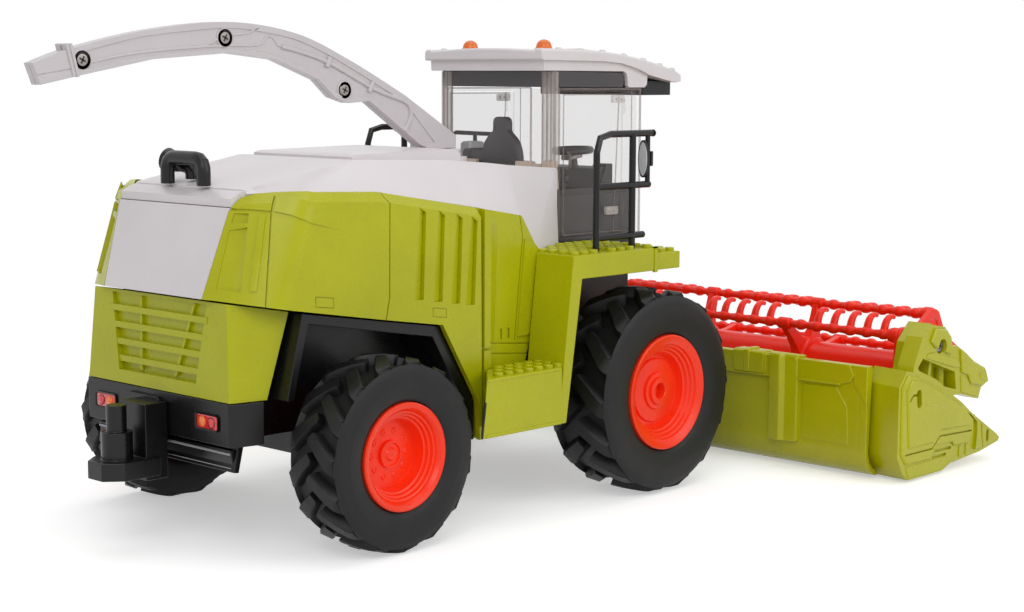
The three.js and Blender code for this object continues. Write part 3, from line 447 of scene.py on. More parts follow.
def rim_bits(wheel, axle):
    """Stepped dish with its hub; along is towards the outside of the right wheel."""
    radius, half = wheel["rim"], wheel["half"]
    out = half
    floor = out - (11.5 if axle == "rear" else 10.5)
    profile = [
        (radius, -out + 1),
        (radius, out - 2.0),
        (radius - 0.2, out - 0.6),
        (radius - 0.9, out - 0.1),
        (radius - 2.6, out - 0.6),
        (radius * 0.835, out - 1.9),
        (radius * 0.82, out - 3.0),
        (radius * 0.785, out - 3.3),
        (radius * 0.765, out - 4.6),
        (radius * 0.73, out - 4.9),
        (radius * 0.71, out - 6.2),
        (radius * 0.675, out - 6.5),
        (radius * 0.655, floor + 0.8),
        (radius * 0.635, floor),
    ]
    if axle == "rear":
        profile += [
            (radius * 0.262, floor + 0.6),
            (radius * 0.25, floor + 2.2),
            (radius * 0.215, floor + 2.3),
            (radius * 0.2, floor + 1.5),
            (radius * 0.13, floor + 1.7),
            (radius * 0.1, floor + 2.4),
            (0.2, floor + 2.6),
        ]
    else:
        profile += [
            (radius * 0.56, floor + 0.3),
            (radius * 0.54, floor + 1.6),
            (radius * 0.42, floor + 2.2),
            (radius * 0.33, floor + 2.4),
            (radius * 0.315, floor + 3.6),
            (radius * 0.25, floor + 3.9),
            (radius * 0.235, floor + 5.2),
            (radius * 0.15, floor + 5.4),
            (radius * 0.135, floor + 4.9),
            (radius * 0.125, floor + 1.0),
            (0.2, floor + 0.9),
        ]
    back = [
        (0.2, floor - 2.5),
        (radius * 0.64, floor - 2.5),
        (radius * 0.82, out - 8.0),
        (radius * 0.84, -out + 1),
    ]
    bits = Bits()
    centre = (wheel["x"], wheel["y"], wheel["z"])
    bits.lathe(profile + back, centre, (0, -1, 0), 72, closed=True)
    if axle == "rear":
        for k in range(10):
            turn = 2 * math.pi * (k + 0.5) / 10
            spot = Vector(centre) + Vector((math.sin(turn), 0, math.cos(turn))) * radius * 0.42
            bits.lathe([(1.5, floor - 0.5), (1.5, floor + 0.35), (1.1, floor + 0.8),
                        (0.6, floor + 0.85),
                        (0.45, floor + 0.5), (0.1, floor + 0.5)], spot, (0, -1, 0), 12)
    return bits


for axle, wheel in WHEELS.items():
    rides_on = axle + "_wheel_{side}"
    put_pair(f"{axle}_lugged_tyre", tyre_bits(wheel, LUGS[axle]), "tyre", rides_on,
             stands_for=axle + "_tyre_{side}", angle=28)
    put_pair(f"{axle}_dished_rim", rim_bits(wheel, axle), "orange", rides_on,
             stands_for=axle + "_rim_{side}", angle=30)


# ------------------------------------------------------------------ surfaces
def skin_of(node):
    """The node's surface in millimetres, for finding where relief lies on it."""
    data = NODES[node].data
    points = [((v.co.x - AXLE_X) * 1000, v.co.y * 1000, v.co.z * 1000) for v in data.vertices]
    return BVHTree.FromPolygons(points, [tuple(p.vertices) for p in data.polygons])


def on_skin(skin, point):
    place, normal, _, _ = skin.find_nearest(Vector(point))
    return place, normal


def trace(skin, path, step=2.0):
    """Samples (point, normal) along a path of points laid on a surface."""
    spots = []
    for a, b in zip(path, path[1:]):
        a, b = Vector(a), Vector(b)
        count = max(1, round((b - a).length / step))
        spots += [a.lerp(b, i / count) for i in range(count)]
    spots.append(Vector(path[-1]))
    samples = [on_skin(skin, spot) for spot in spots]
    smooth = []
    for i, (place, _) in enumerate(samples):
        near = [samples[k][1] for k in range(max(0, i - 1), min(len(samples), i + 2))]
        smooth.append((place, sum(near, Vector()).normalized()))
    return smooth


def groove_section(width, deep):
    return [(-width / 2, 1.0), (width / 2, 1.0), (width * 0.35, -deep), (-width * 0.35, -deep)]


def patch(bits, skin, corners, rise, sink, cells=(6, 6)):
    """A closed slab that follows a surface between four corners.

    rise and sink are heights over and under the surface, or functions of the
    shares (u, v) from the first corner to the second and to the fourth.
    """
    a, b, c, d = (Vector(p) for p in corners)
    across, down = cells
    over, under = [], []
    for j in range(down + 1):
        for i in range(across + 1):
            u, v = i / across, j / down
            place, normal = on_skin(skin, a.lerp(b, u).lerp(d.lerp(c, u), v))
            over.append(place + normal * (rise(u, v) if callable(rise) else rise))
            under.append(place - normal * (sink(u, v) if callable(sink) else sink))
    row = across + 1
    total = len(over)
    faces = []
    for j in range(down):
        for i in range(across):
            k = j * row + i
            quad = (k, k + 1, k + row + 1, k + row)
            faces.append(quad)
            faces.append(tuple(total + n for n in reversed(quad)))
    rim_line = [i for i in range(row)]
    rim_line += [j * row + across for j in range(1, down + 1)]
    rim_line += [down * row + i for i in range(across - 1, -1, -1)]
    rim_line += [j * row for j in range(down - 1, 0, -1)]
    for k, n in zip(rim_line, rim_line[1:] + rim_line[:1]):
        faces.append((k, n, total + n, total + k))
    return bits.add(over + under, faces)


def carved(node, cutters, raised=None):
    """The mesh of a CAD node, with bits raised on it, less the cutters, in the row frame."""
    blank = NODES[node].data.copy()
    work = bmesh.new()
    work.from_mesh(blank)
    bmesh.ops.remove_doubles(work, verts=work.verts, dist=0.000002)
    flat = math.radians(FLAT_ENOUGH)
    bmesh.ops.dissolve_limit(work, angle_limit=flat, verts=work.verts, edges=work.edges)
    work.to_mesh(blank)
    work.free()
    if raised:
        with_bits(blank, raised)
    piece = bpy.data.objects.new("blank", blank)
    tool = bpy.data.objects.new("cutter", cutters.mesh("cutter"))
    for thing in (piece, tool):
        bpy.context.scene.collection.objects.link(thing)
    cut = piece.modifiers.new("cut", "BOOLEAN")
    cut.operation = "DIFFERENCE"
    cut.solver = "EXACT"
    cut.use_self = True
    cut.object = tool
    graph = bpy.context.evaluated_depsgraph_get()
    result = bpy.data.meshes.new_from_object(piece.evaluated_get(graph))
    bpy.data.objects.remove(piece)
    bpy.data.objects.remove(tool)
    return result


def with_bits(mesh, bits):
    """Adds closed bits to a mesh."""
    if not bits.points:
        return mesh
    work = bmesh.new()
    work.from_mesh(mesh)
    extra = bits.mesh("extra")
    work.from_mesh(extra)
    work.to_mesh(mesh)
    work.free()
    bpy.data.meshes.remove(extra)
    return mesh


def flipped(mesh):
    """The mirror image of a mesh across the middle of the machine."""
    twin = mesh.copy()
    twin.transform(Matrix.Scale(-1, 4, (0, 1, 0)))
    twin.flip_normals()
    return twin


def put_mesh(name, mesh, material, body, stands_for, rounding=0.45, angle=30.0):
    piece = bpy.data.objects.new(name, mesh)
    bpy.context.scene.collection.objects.link(piece)
    if rounding:
        soften(piece, rounding, angle)
    else:
        shaded(piece, angle)
    return finish_piece(piece, material, body, stands_for)


def put_carved_pair(name, node, cutters, raised, material, body, rounding=0.45):
    """Carves the right-hand node, adds raised bits and makes both sides of it."""
    right = with_bits(carved(node + "_right", cutters), raised)
    left = flipped(right)
    for side, mesh in (("right", right), ("left", left)):
        put_mesh(f"{name}_{side}", mesh, material, body, (f"{node}_{side}",),
                 rounding)


# ------------------------------------------------------------------ side shells
def side_shell_pieces():
    skin = skin_of("side_shell_right")
    cutters, raised = Bits(), Bits()
    seam = groove_section(0.75, 0.9)
    cutters.stroke(trace(skin, [(-38.6, -52.6, 149.9), (-39.3, -53.3, 146.3), (-41, -53.9, 141.6),
                                (-44.9, -56.7, 123.5), (-48.5, -59.0, 105.8),
                                (-48.8, -59.2, 104.4)]), seam)
    cutters.stroke(trace(skin, [(11.8, -60.9, 148.2), (12.6, -64.3, 147.0), (14.0, -65, 143.9),
                                (13.0, -65, 104), (10.9, -65, 94.6)]), seam)
    # corner panel: line under the top lip, then the sunk panels
    cutters.stroke(trace(skin,
                         [(-48.9, -38.6, 142.6), (-44.5, -47.5, 142.4), (-40.9, -53.9, 142.1)]),
                   [(-0.45, 1), (0.45, 1), (0.45, -0.55), (-0.45, -0.55)])
    patch(cutters, skin, [(-49.0, -40.2, 141.2), (-46.3, -46.3, 141.4), (-46.9, -46.6, 137.6),
                          (-50.2, -39.9, 137.6)],
          1.5, lambda u, v: 0.5 + 0.8 * u)
    patch(cutters, skin, [(-51.3, -39.7, 134.4), (-47.9, -47.1, 136.0), (-53.6, -49.8, 110.4),
                          (-58.2, -39.6, 111.4)],
          1.5, lambda u, v: 0.35 + 0.95 * u, (8, 8))
    patch(raised, skin, [(-43.8, -50.2, 141.2), (-42.2, -52.2, 141.2), (-50.2, -55.6, 110.8),
                         (-51.8, -53.2, 110.8)],
          0.55, 0.6, (4, 10))
    # crease that fades out forwards, and two latch outlines
    crease = trace(skin, [(-40.2, -54.6, 142.4), (-36, -59.4, 141), (-29.1, -64, 137.6),
                          (-12.4, -65, 133.5)])
    fade = [min(1.0, 1.25 * (1 - i / (len(crease) - 1)) + 0.02) for i in range(len(crease))]
    raised.stroke(crease, [(0, -0.6), (0, 0.75), (-7.5, 0.02), (-7.5, -0.6)], fade)
    for corners in (
        [(-27.4, -65, 107.6), (-18.0, -65, 106.3), (-18.0, -65, 102.2), (-27.4, -65, 103.5)],
        [(38.2, -65, 97.3), (46.2, -65, 96.2), (46.2, -65, 92.4), (38.2, -65, 93.5)],
    ):
        cutters.stroke(trace(skin, corners + corners[:1], 4), groove_section(0.55, 0.45))
    # louvres: shallow at the rear edge, a sharp wall at the front edge
    for x, top in ((30.8, 141.0), (42.0, 139.2), (52.8, 137.3), (62.0, 135.6)):
        foot_x = x - 3.6
        low = 101.4 - 0.155 * (x - 30.8)
        patch(cutters, skin, [(x, -65, top), (x + 4.1, -65, top - 2.4),
                              (foot_x + 5.6, -65, low - 0.2), (foot_x, -65, low)],
              1.5, lambda u, v: 0.05 + 1.9 * u ** 1.3, (5, 12))
    put_carved_pair("side_panel", "side_shell", cutters, raised, "green", "root", 0.5)


def front_quarter_pieces():
    skin = skin_of("front_quarter_right")
    cutters, raised = Bits(), Bits()
    seam = groove_section(0.6, 0.7)
    out = -61
    cutters.stroke(trace(skin, [(96.4, out, 134.2), (98.3, out, 124.1), (93.2, out, 77.2)]), seam)
    cutters.stroke(trace(skin, [(76.6, out, 77.6), (103.5, out, 74.9)]), seam)
    cutters.stroke(trace(skin, [(76.9, out, 72.9), (102.9, out, 70.3)]), seam)
    for x in (84.0, 88.8):
        patch(cutters, skin, [(x, out, 83.4), (x + 1.1, out, 83.3), (x + 1.1, out, 78.6),
                              (x, out, 78.7)], 1, 0.9, (1, 1))
    patch(raised, skin, [(70.2, out, 138.2), (74.6, out, 136.9), (74.0, out, 76.5),
                         (70.2, out, 76.5)],
          3.6, 0.6, (1, 8))
    patch(raised, skin, [(74.8, out, 136.8), (81.6, out, 129.4), (79.6, out, 78.8),
                         (74.2, out, 78.8)],
          lambda u, v: 2.6 - 2.2 * u, 0.6, (2, 8))
    patch(raised, skin, [(99.4, out, 123.2), (110.5, out, 119.6), (107.6, out, 79.0),
                         (94.6, out, 79.0)],
          0.7, 0.6, (2, 6))
    patch(raised, skin, [(70.2, out, 75.2), (74.6, out, 75.0), (74.6, out, 43.0),
                         (70.2, out, 43.0)],
          3.4, 0.6, (1, 4))
    put_carved_pair("quarter_panel", "front_quarter", cutters, raised, "green", "root", 0.5)


side_shell_pieces()
front_quarter_pieces()


# ------------------------------------------------------------------ studs
def studs(bits, spots, z, radius=2.3, height=1.7):
    profile = [(radius, -0.4), (radius, height - 0.3), (radius - 0.35, height), (0.4, height)]
    for x, y in spots:
        bits.lathe(profile, (x, y, z), (0, 0, 1), 16)


def stud_pieces():
    top_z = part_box("walkway_right")[1].z * 1000
    bits = Bits()
    grid = [(55.4 + 6.4 * i, -81.2 + 6.0 * j) for i in range(8) for j in range(3)]
    studs(bits, [(x, y) for x, y in grid if x > 51.4 + (y + 85) + 2.4 and x < 103], 66.7)
    spots = []
    for i in range(9):
        for j in range(7):
            x, y = 110.6 + 6.4 * i, -81.4 + 6.4 * j
            wall = 57 - 15 * min(1.0, max(0.0, (x - 110.5) / 33))
            if -y > wall + 3.2 and -y > 43.5:
                spots.append((x, y))
    rail = skin_of("railing_right")
    kept = []
    for x, y in spots:
        if rail.find_nearest(Vector((x, y, top_z + 1)))[3] > 2.9:
            kept.append((x, y))
    studs(bits, kept, top_z)
    studs(bits, [(168.4 + 6.4 * i, -79.6 + 6.4 * j) for i in range(3) for j in range(5)], 113.6)
    # stiffening rib round the end of the walkway
    bits.block(163.2, 165.4, -85.5, -84.2, 104.9, 116.9)
    bits.block(163.2, 165.4, -85.5, -44.0, 116.2, 116.9)
    put_pair("walkway_studs", bits, "green", "root", angle=40)


stud_pieces()


def leaning_column(bits, plan, ends):
    """A column with one plan, whose ends are (z, shift along X)."""
    bits.loft([[(x + shift, y, z) for x, y in plan] for z, shift in ends])


def walkway_piece():
    """The step loses its rear outer corner, so that the side panel shows down to its foot."""
    cutters, raised = Bits(), Bits()
    cut = [(48.2, -85.0), (69.2, -64.0), (60, -60), (30, -60), (30, -90), (43.2, -90)]
    leaning_column(cutters, cut, ((38.0, -0.4), (69.5, 3.2)))
    panel = [(48.2, -84.9), (67.8, -65.3), (70.6, -65.3), (51.0, -84.9)]
    leaning_column(raised, panel, ((41.0, -0.1), (66.5, 2.8)))
    # flange along the foot and the upright edge of the leg
    raised.block(50.5, 99.0, -85.5, -84.5, 41.0, 42.6)
    raised.block(51.4, 98.6, -85.3, -84.5, 65.4, 66.7)
    put_carved_pair("walkway_shell", "walkway", cutters, raised, "green", "root", 0.7)


def step_flange():
    """The black arch flange that runs down the cut corner of the step."""
    bits = Bits()
    plan = [(47.6, -85.1), (55.0, -77.7), (55.6, -78.3), (48.4, -85.5)]
    leaning_column(bits, plan, ((41.2, -0.3), (57.0, 1.9)))
    put_pair("step_flange", bits, "black", "root", rounding=0.15)


walkway_piece()
step_flange()


# ------------------------------------------------------------------ rear end
def rear_pieces():
    # grille: two upright ribs on the floor of the pocket, behind the slats
    ribs = Bits()
    floor_x = -56.6
    for foot, head in (((13.0, 72.6), (12.3, 103.9)), ((-11.0, 72.6), (-24.6, 103.9))):
        ribs.prism([(foot[0] - 0.7, foot[1]), (foot[0] + 0.7, foot[1]), (head[0] + 0.7, head[1]),
                    (head[0] - 0.7, head[1])],
                   "x", floor_x - 1.5, floor_x + 0.5)
    tail = with_bits(carved("lower_tail", Bits().block(-200, -199, 0, 1, 0, 1)), ribs)
    put_mesh("grille_tail", tail, "green", "root", ("lower_tail",), 0.55)

    # lamps on the bumper
    for side, sign in (("right", -1), ("left", 1)):
        inner, outer = 28.0 * sign, 43.2 * sign
        x = -60.6
        bezel, lens = Bits(), Bits()
        outline = rounded_outline(inner, outer, 53.4, 60.5, 1.4)
        hole = rounded_outline(inner + 0.7 * sign, outer - 0.7 * sign, 54.1, 59.8, 1.0)
        rings = [
            [(x + 0.6, y, z) for y, z in outline],
            [(x - 0.5, y, z) for y, z in outline],
            [(x - 0.7, y * 0.998 + hole[i][0] * 0.002, z) for i, (y, z) in enumerate(outline)],
            [(x - 0.45, y, z) for y, z in hole],
            [(x + 0.6, y, z) for y, z in hole],
        ]
        bezel.loft(rings, closed=True)
        lens.loft([[(x + 0.4, y, z) for y, z in hole], [(x - 0.2, y, z) for y, z in hole],
                   [(x - 0.42, lens_in(y, inner, outer, 0.93), lens_in(z, 53.4, 60.5, 0.9))
                    for y, z in hole]])
        put(f"lamp_bezel_{side}", bezel, "black", "root")
        put(f"lamp_lens_{side}", lens, "lamp_red", "root", "red", angle=50)
        for part, place, material, slot in (("inner", 0.3, "lamp_orange", "amber"),
                                            ("outer", 0.71, "lamp_red", "red")):
            y = inner + (outer - inner) * place
            ring = Bits()
            ring.lathe([(2.35, 0.2), (2.35, 0.62), (2.05, 0.66), (2.0, 0.2)], (x, y, 56.9),
                       (-1, 0, 0), 28, closed=True)
            bulb = Bits()
            dome = [(2.0 * math.cos(a), 0.35 + 1.1 * math.sin(a))
                    for a in (i * math.pi / 16 for i in range(8))]
            bulb.lathe([(2.0, 0.1)] + dome + [(0.05, 1.45)], (x, y, 56.9), (-1, 0, 0), 28)
            put(f"lamp_{part}_ring_{side}", ring, "lamp_dark" if part == "outer" else "lamp_orange",
                "root", "red")
            put(f"lamp_{part}_bulb_{side}", bulb, material, "root", slot, angle=60)

    # bumper lip with its foot strip, painted pale grey for the floor's reflection in its lower edge, and
    # the mounting plate of the hitch
    lip, foot, plate_bits = Bits(), Bits(), Bits()
    lip.loft([[(x, y, z) for x, z in ((-57.6, 46.2), (-56.0, 38.6), (-53.0, 38.6), (-53.0, 46.2))]
              for y in (-46.4, 46.4)])
    for y0, y1 in ((-46.0, -2.5), (20.0, 46.0)):
        foot.prism([(-56.9, 38.7), (-56.1, 37.0), (-53.4, 37.0), (-53.4, 38.7)], "y", y0, y1)
        foot.prism([(-57.9, 45.0), (-58.0, 44.0), (-56.0, 44.0), (-56.0, 45.0)], "y", y0, y1)
    plate_bits.prism(rounded_outline(-4.6, 18.6, 37.5, 63.4, 2.0), "x", -62.2, -59.0)
    plate_bits.block(-62.6, -62.0, -1.8, 2.2, 40, 60)
    put("bumper_lip", lip, "black", "root", rounding=0.4)
    put("bumper_foot", foot, "painted_floor_reflection", "root", "none", rounding=0.3)
    put("hitch_mounting", plate_bits, "black", "root", rounding=0.5)


def rounded_outline(a0, a1, b0, b1, radius, steps=4):
    """A rectangle with round corners, as points (a, b)."""
    low_a, high_a = min(a0, a1), max(a0, a1)
    points = []
    for ca, cb, start in ((high_a - radius, b1 - radius, 0), (low_a + radius, b1 - radius, 90),
                          (low_a + radius, b0 + radius, 180), (high_a - radius, b0 + radius, 270)):
        for k in range(steps + 1):
            turn = math.radians(start + 90 * k / steps)
            points.append((ca + radius * math.cos(turn), cb + radius * math.sin(turn)))
    return points


def lens_in(value, low, high, share):
    middle = (low + high) / 2
    return middle + (value - middle) * share


rear_pieces()


# ------------------------------------------------------------------ spout
SPOUT_FACE = -3.3
SPOUT_SCREWS = ((-94.0, 202.2), (-23.7, 212.0), (42.8, 189.9))


def face_line(points, y=SPOUT_FACE, step=2.0):
    """Samples along a smooth line drawn on the near face of the spout."""
    dense = []
    count = len(points)
    for i in range(count - 1):
        p0, p1, p2, p3 = (Vector((*points[min(max(k, 0), count - 1)], 0))
                          for k in (i - 1, i, i + 1, i + 2))
        steps = max(2, round((p2 - p1).length / step))
        for k in range(steps):
            t = k / steps
            dense.append(0.5 * (2 * p1 + (p2 - p0) * t + (2 * p0 - 5 * p1 + 4 * p2 - p3) * t * t
                                + (3 * p1 - p0 - 3 * p2 + p3) * t ** 3))
    dense.append(Vector((*points[-1], 0)))
    return [(Vector((p.x, y, p.y)), Vector((0, -1, 0))) for p in dense]


def ridge_section(width, high, foot=0.4):
    half = width / 2
    return [(-half, -foot), (-half, high * 0.45), (-half * 0.6, high), (half * 0.6, high),
            (half, high * 0.45), (half, -foot)]


def spout_pieces():
    top = [(-95.5, 204.9), (-67.8, 211.3), (-38.6, 214.9), (-20, 216.1), (-3.1, 214.8), (16, 211.6),
           (33, 205.6),
           (50, 198.2), (66, 190.6), (80, 183.4), (92, 172.0), (99, 165.2)]
    low = [(-93.6, 198.2), (-67, 203.2), (-36, 206.6), (-4.8, 206.3), (16.3, 200.8), (29, 195.6),
           (38, 188.9),
           (46, 186.0), (58.5, 186.4), (70, 180.0), (90, 166.4), (93, 165.0)]
    cutters = Bits()
    outline = [(p.x, p.z) for p, _ in face_line(top)] + [(p.x, p.z)
                                                         for p, _ in reversed(face_line(low, step=3))]
    cutters.prism(outline, "y", -5.0, SPOUT_FACE + 0.55)
    cutters.stroke(face_line([(-115.3, 196.0), (-99.2, 198.6)]), groove_section(0.5, 0.35))
    sunk = SPOUT_FACE + 0.5
    raised = Bits()
    raised.stroke(face_line([(-94, 200.6), (-68.1, 205.2), (-32.8, 208.3), (-6.6, 209.2)], sunk),
                  ridge_section(1.1, 0.5))
    raised.stroke(face_line([(-6.6, 209.2), (-3.4, 210.2), (-1.6, 212.6), (0.6, 213.1),
                             (2.8, 212.0), (4.6, 209.6), (7, 208.8)],
                            sunk, 1.0), ridge_section(0.9, 0.5))
    pipe = [(7, 208.8), (20, 206.1), (33.2, 202.2), (46, 196.8), (59.3, 190.9), (70, 187.4),
            (78.5, 185.0),
            (82.6, 182.4), (83.6, 178.6), (82.0, 174.4), (79.4, 170.9)]
    raised.stroke(face_line(pipe, sunk, 1.5), ridge_section(1.9, 1.15))
    for x, z, lean in ((33.2, 202.3, -0.42), (58.4, 191.3, -0.44)):
        across = Vector((-math.sin(lean), 0, math.cos(lean)))
        ends = [Vector((x, sunk, z)) + across * s for s in (-2.4, 2.4)]
        raised.stroke([(e, Vector((0, -1, 0))) for e in ends],
                      [(-1.0, -0.3), (-1.0, 1.3), (-0.6, 1.6), (0.6, 1.6), (1.0, 1.3), (1.0, -0.3)])
    for line in ([(-35.5, 208.2), (-30.2, 210.0), (-27.6, 211.4)],
                 [(-20.2, 213.2), (-12, 214.2), (-5.5, 216.4)]):
        raised.stroke(face_line(line, sunk, 1.0), ridge_section(0.9, 0.5))
    # slanted band of ridges round the tip, standing over the top edge
    for x, width in ((-98.6, 1.1), (-96.9, 1.2)):
        raised.prism([(x, 195.4), (x + width, 195.7), (x + width - 3.2, 208.7), (x - 3.2, 208.3)],
                     "y", -4.0, -0.3)
    raised.prism([(-98.4, 195.8), (-96.4, 195.9), (-99.6, 208.2), (-101.6, 208.0)], "y", -3.6, -0.3)
    # screw bosses: a collar round each sunk screw
    for x, z in SPOUT_SCREWS:
        raised.lathe([(4.3, -0.2), (4.2, 0.4), (3.9, 0.6), (3.6, 0.6), (3.5, 0.3), (3.5, -0.2)],
                     (x, sunk, z), (0, -1, 0), 32, closed=True)
    put_carved_pair("spout_shell", "spout_half", cutters, raised, "spout_white", "spout", 0.3)
    screws = Bits()
    slots = Bits()
    for x, z in SPOUT_SCREWS:
        cross_screw(screws, slots, (x, sunk, z), (0, -1, 0), 2.75)
    # the far half has plain boss ends where the screws stop
    ends = Bits()
    for x, z in SPOUT_SCREWS:
        ends.lathe([(3.45, -0.8), (3.45, 0.12), (0.05, 0.12), (0.05, -0.8)], (x, -sunk, z),
                   (0, 1, 0), 28, closed=True)
    put("spout_boss_ends", ends, "spout_white", "spout", "white", angle=30)
    put("spout_screws", screws, "steel", "spout", "none", angle=30)
    # painted shadow: dark cross recesses and dark rings round the screws
    put("spout_screw_slots", slots, "painted_screw_shadow", "spout", "none")


def cross_screw(head, slots, centre, axis, radius):
    """A pan head with a cross recess painted dark for its shade, standing on a ring painted dark for the
    shadow round it.
    """
    head.lathe([(radius, 0.0), (radius, 0.35), (radius * 0.86, 0.62), (radius * 0.3, 0.72),
                (0.05, 0.72)], centre, axis, 28)
    along_axis = Vector(axis)
    side = along_axis.orthogonal().normalized()
    other = along_axis.cross(side)
    top = Vector(centre) + along_axis * 0.5
    first = (side + other * 0.35).normalized()
    # painted shade: dark bars sunk in the head where the cross recess is shaded
    for turned_a in (first, along_axis.cross(first)):
        turned_b = along_axis.cross(turned_a)
        ring = [turned_a * radius * s * 0.62 + turned_b * radius * t * 0.15
                for s, t in ((-1, -1), (1, -1), (1, 1), (-1, 1))]
        slots.loft([[top + p for p in ring], [top + p * 0.9 + along_axis * 0.28 for p in ring]])
    # painted shadow: a dark ring round the foot of the head
    slots.lathe([(radius * 1.17, -0.3), (radius * 1.17, 0.16), (radius * 0.97, 0.16),
                 (radius * 0.97, -0.3)], centre, axis, 28, closed=True)


spout_pieces()


# ------------------------------------------------------------------ roof and cab
def roof_piece():
    # slab: stations along X of (x, top, bottom, half width)
    stations = [(133.6, 208.6, 204.6, 39.6), (134.6, 209.3, 203.9, 40.4), (150, 209.3, 203.8, 40.5),
                (178, 208.5, 203.6, 40.5),
                (192, 207.2, 202.6, 40.5), (204, 205.6, 200.0, 40.5), (213, 204.0, 197.0, 40.5),
                (224, 201.9, 194.9, 40.4),
                (234, 199.6, 193.4, 40.2), (238.6, 197.9, 193.9, 39.6), (239.8, 196.6, 195.2, 38.4)]
    bits = Bits()
    rings = []
    for x, top, low, half in stations:
        section = [(-half, low), (-half, top - 0.9), (-half + 1.0, top), (-half + 4.2, top),
                   (-half + 4.8, top - 0.7),
                   (-14, top + 0.3), (0, top + 0.5)]
        section += [(-y, z) for y, z in section[-2::-1]]
        rings.append([(x, y, z) for y, z in section])
    bits.loft(rings)
    # skirt under the slab, deeper in front of the tinted strip
    skirt = [(136.4, 204.5), (136.8, 199.0), (195.2, 198.8), (197.0, 197.6), (197.8, 195.4),
             (198.2, 191.6), (199.2, 190.9),
             (211.2, 190.9), (213.0, 192.4), (213.4, 198.5), (203, 201.5), (190, 204.5)]
    bits.prism(skirt, "y", -38.5, -36.2)
    bits.prism(skirt, "y", 36.2, 38.5)
    bits.block(136.6, 212.8, -38.0, 38.0, 198.9, 203.9)
    bits.block(136.4, 138.4, -37.4, 37.4, 198.9, 204.4)
    for sign in (-1, 1):
        for x, z in ((146, 209.3), (162, 209.0), (178, 208.5), (194, 206.9), (209, 204.8),
                     (222, 202.3), (232, 200.1)):
            bits.loft([[(x + a, sign * 38.8 + b, z - 0.5)
                        for a, b in ((-1.7, -1.1), (1.7, -1.1), (1.7, 1.1), (-1.7, 1.1))],
                       [(x + a, sign * 38.8 + b, z + 0.75)
                        for a, b in ((-1.1, -0.8), (1.1, -0.8), (1.1, 0.8), (-1.1, 0.8))]])
    # raised field on top, with cross ribs near its front
    field = []
    for x, top in ((176, 208.8), (192, 207.6), (204, 206.0), (213, 204.4), (224, 202.3),
                   (229, 201.2)):
        field.append([(x, y, top - 1.0 if z else top + 1.1)
                      for y, z in ((-27, 1), (-26, 0), (26, 0), (27, 1))])
    bits.loft(field)
    for x, z in ((217, 203.8), (221.5, 203.0), (226, 202.0)):
        bits.block(x - 0.6, x + 0.6, -22, 22, z - 1.2, z + 1.1)
    put("roof_shell", bits, "white", "root", "white", ("cab_roof",), 0.7, 30)
    # beacon seats
    seats = Bits()
    for sign in (-1, 1):
        seats.lathe([(4.9, -1.2), (4.9, 0.15), (4.5, 0.4), (3.4, 0.4)], (151, 25 * sign, 209.3),
                    (0, 0, 1), 28)
    put("beacon_seats", seats, "white", "root", angle=30)


def tint_strip():
    bits = Bits()
    bits.block(143.9, 145.6, -37.0, 37.0, 191.2, 198.9)
    for sign in (-1, 1):
        outline = [(144.2, 191.2), (194.6, 191.2), (195.4, 192.0), (195.6, 195.6), (194.8, 197.4),
                   (193.2, 198.3), (144.2, 198.9)]
        bits.prism(outline, "y", *sorted((sign * 36.4, sign * 38.05)))
    for x in (158, 190):
        bits.block(x, x + 3, -36.5, 36.5, 196.4, 198.95)
    bits.block(143.8, 210, -37.4, 37.4, 198.2, 198.95)
    # sun visor roll and wiper housing under the roof
    bits.prism([(200.6, 198.6), (204.5, 198.6), (203.5, 193.6), (201.2, 193.2)], "y", -30, 30)
    put("tinted_strip", bits, "tint", "root", "black", ("roof_frame",), 0.35)


def cab_posts():
    post, edge, cream = Bits(), Bits(), Bits()
    low, high = 153.2, 198.6
    for y, z0 in ((-31.0, low), (-33.9, low), (-36.6, low)):
        edge.tube([(143.9, y, z0), (143.9, y, high)], 0.55, 8)
    edge.tube([(144.6, -38.0, 143.4), (144.6, -38.0, high)], 0.8, 10)
    edge.tube([(147.6, -38.25, 121.6), (147.6, -38.25, 190.2)], 0.42, 8)
    post.prism([(143.6, -30.6), (143.6, -37.6), (144.3, -38.3), (146.9, -38.3), (146.9, -37.4),
                (144.8, -37.4), (144.4, -36.9), (144.4, -30.6)],
               "z", low, high)
    edge.tube([(208.9, -37.4, 118), (208.9, -37.4, 190.4)], 0.6, 10)
    edge.tube([(201.5, -38.1, 118), (201.5, -38.1, 190.0)], 0.3, 8)
    edge.tube([(145.0, -37.9, 190.3), (209.0, -37.9, 190.3)], 0.5, 8)
    edge.tube([(143.9, -37.0, 153.4), (143.9, -1.0, 153.4)], 0.45, 8)
    # foot and ledge clips, moulded in cream
    cream.prism([(143.4, -30.8), (143.4, -38.5), (146.6, -38.5), (146.6, -30.8)], "z", 152.4, 156.2)
    cream.prism([(144.0, 152.6), (146.6, 152.6), (147.6, 142.4), (146.4, 142.4)], "y", -38.55,
                -37.2)
    cream.block(143.2, 147.0, -23.8, -13.4, 152.4, 155.4)
    cream.block(143.2, 147.0, -30.8, -24.2, 153.0, 154.4)
    put_pair("cab_post", post, "clear_post", "root", "clear", angle=25)
    put_pair("cab_glass_edge", edge, "clear_edge", "root", "clear", angle=25)
    put_pair("cab_clip", cream, "cream", "root", "none", rounding=0.4)


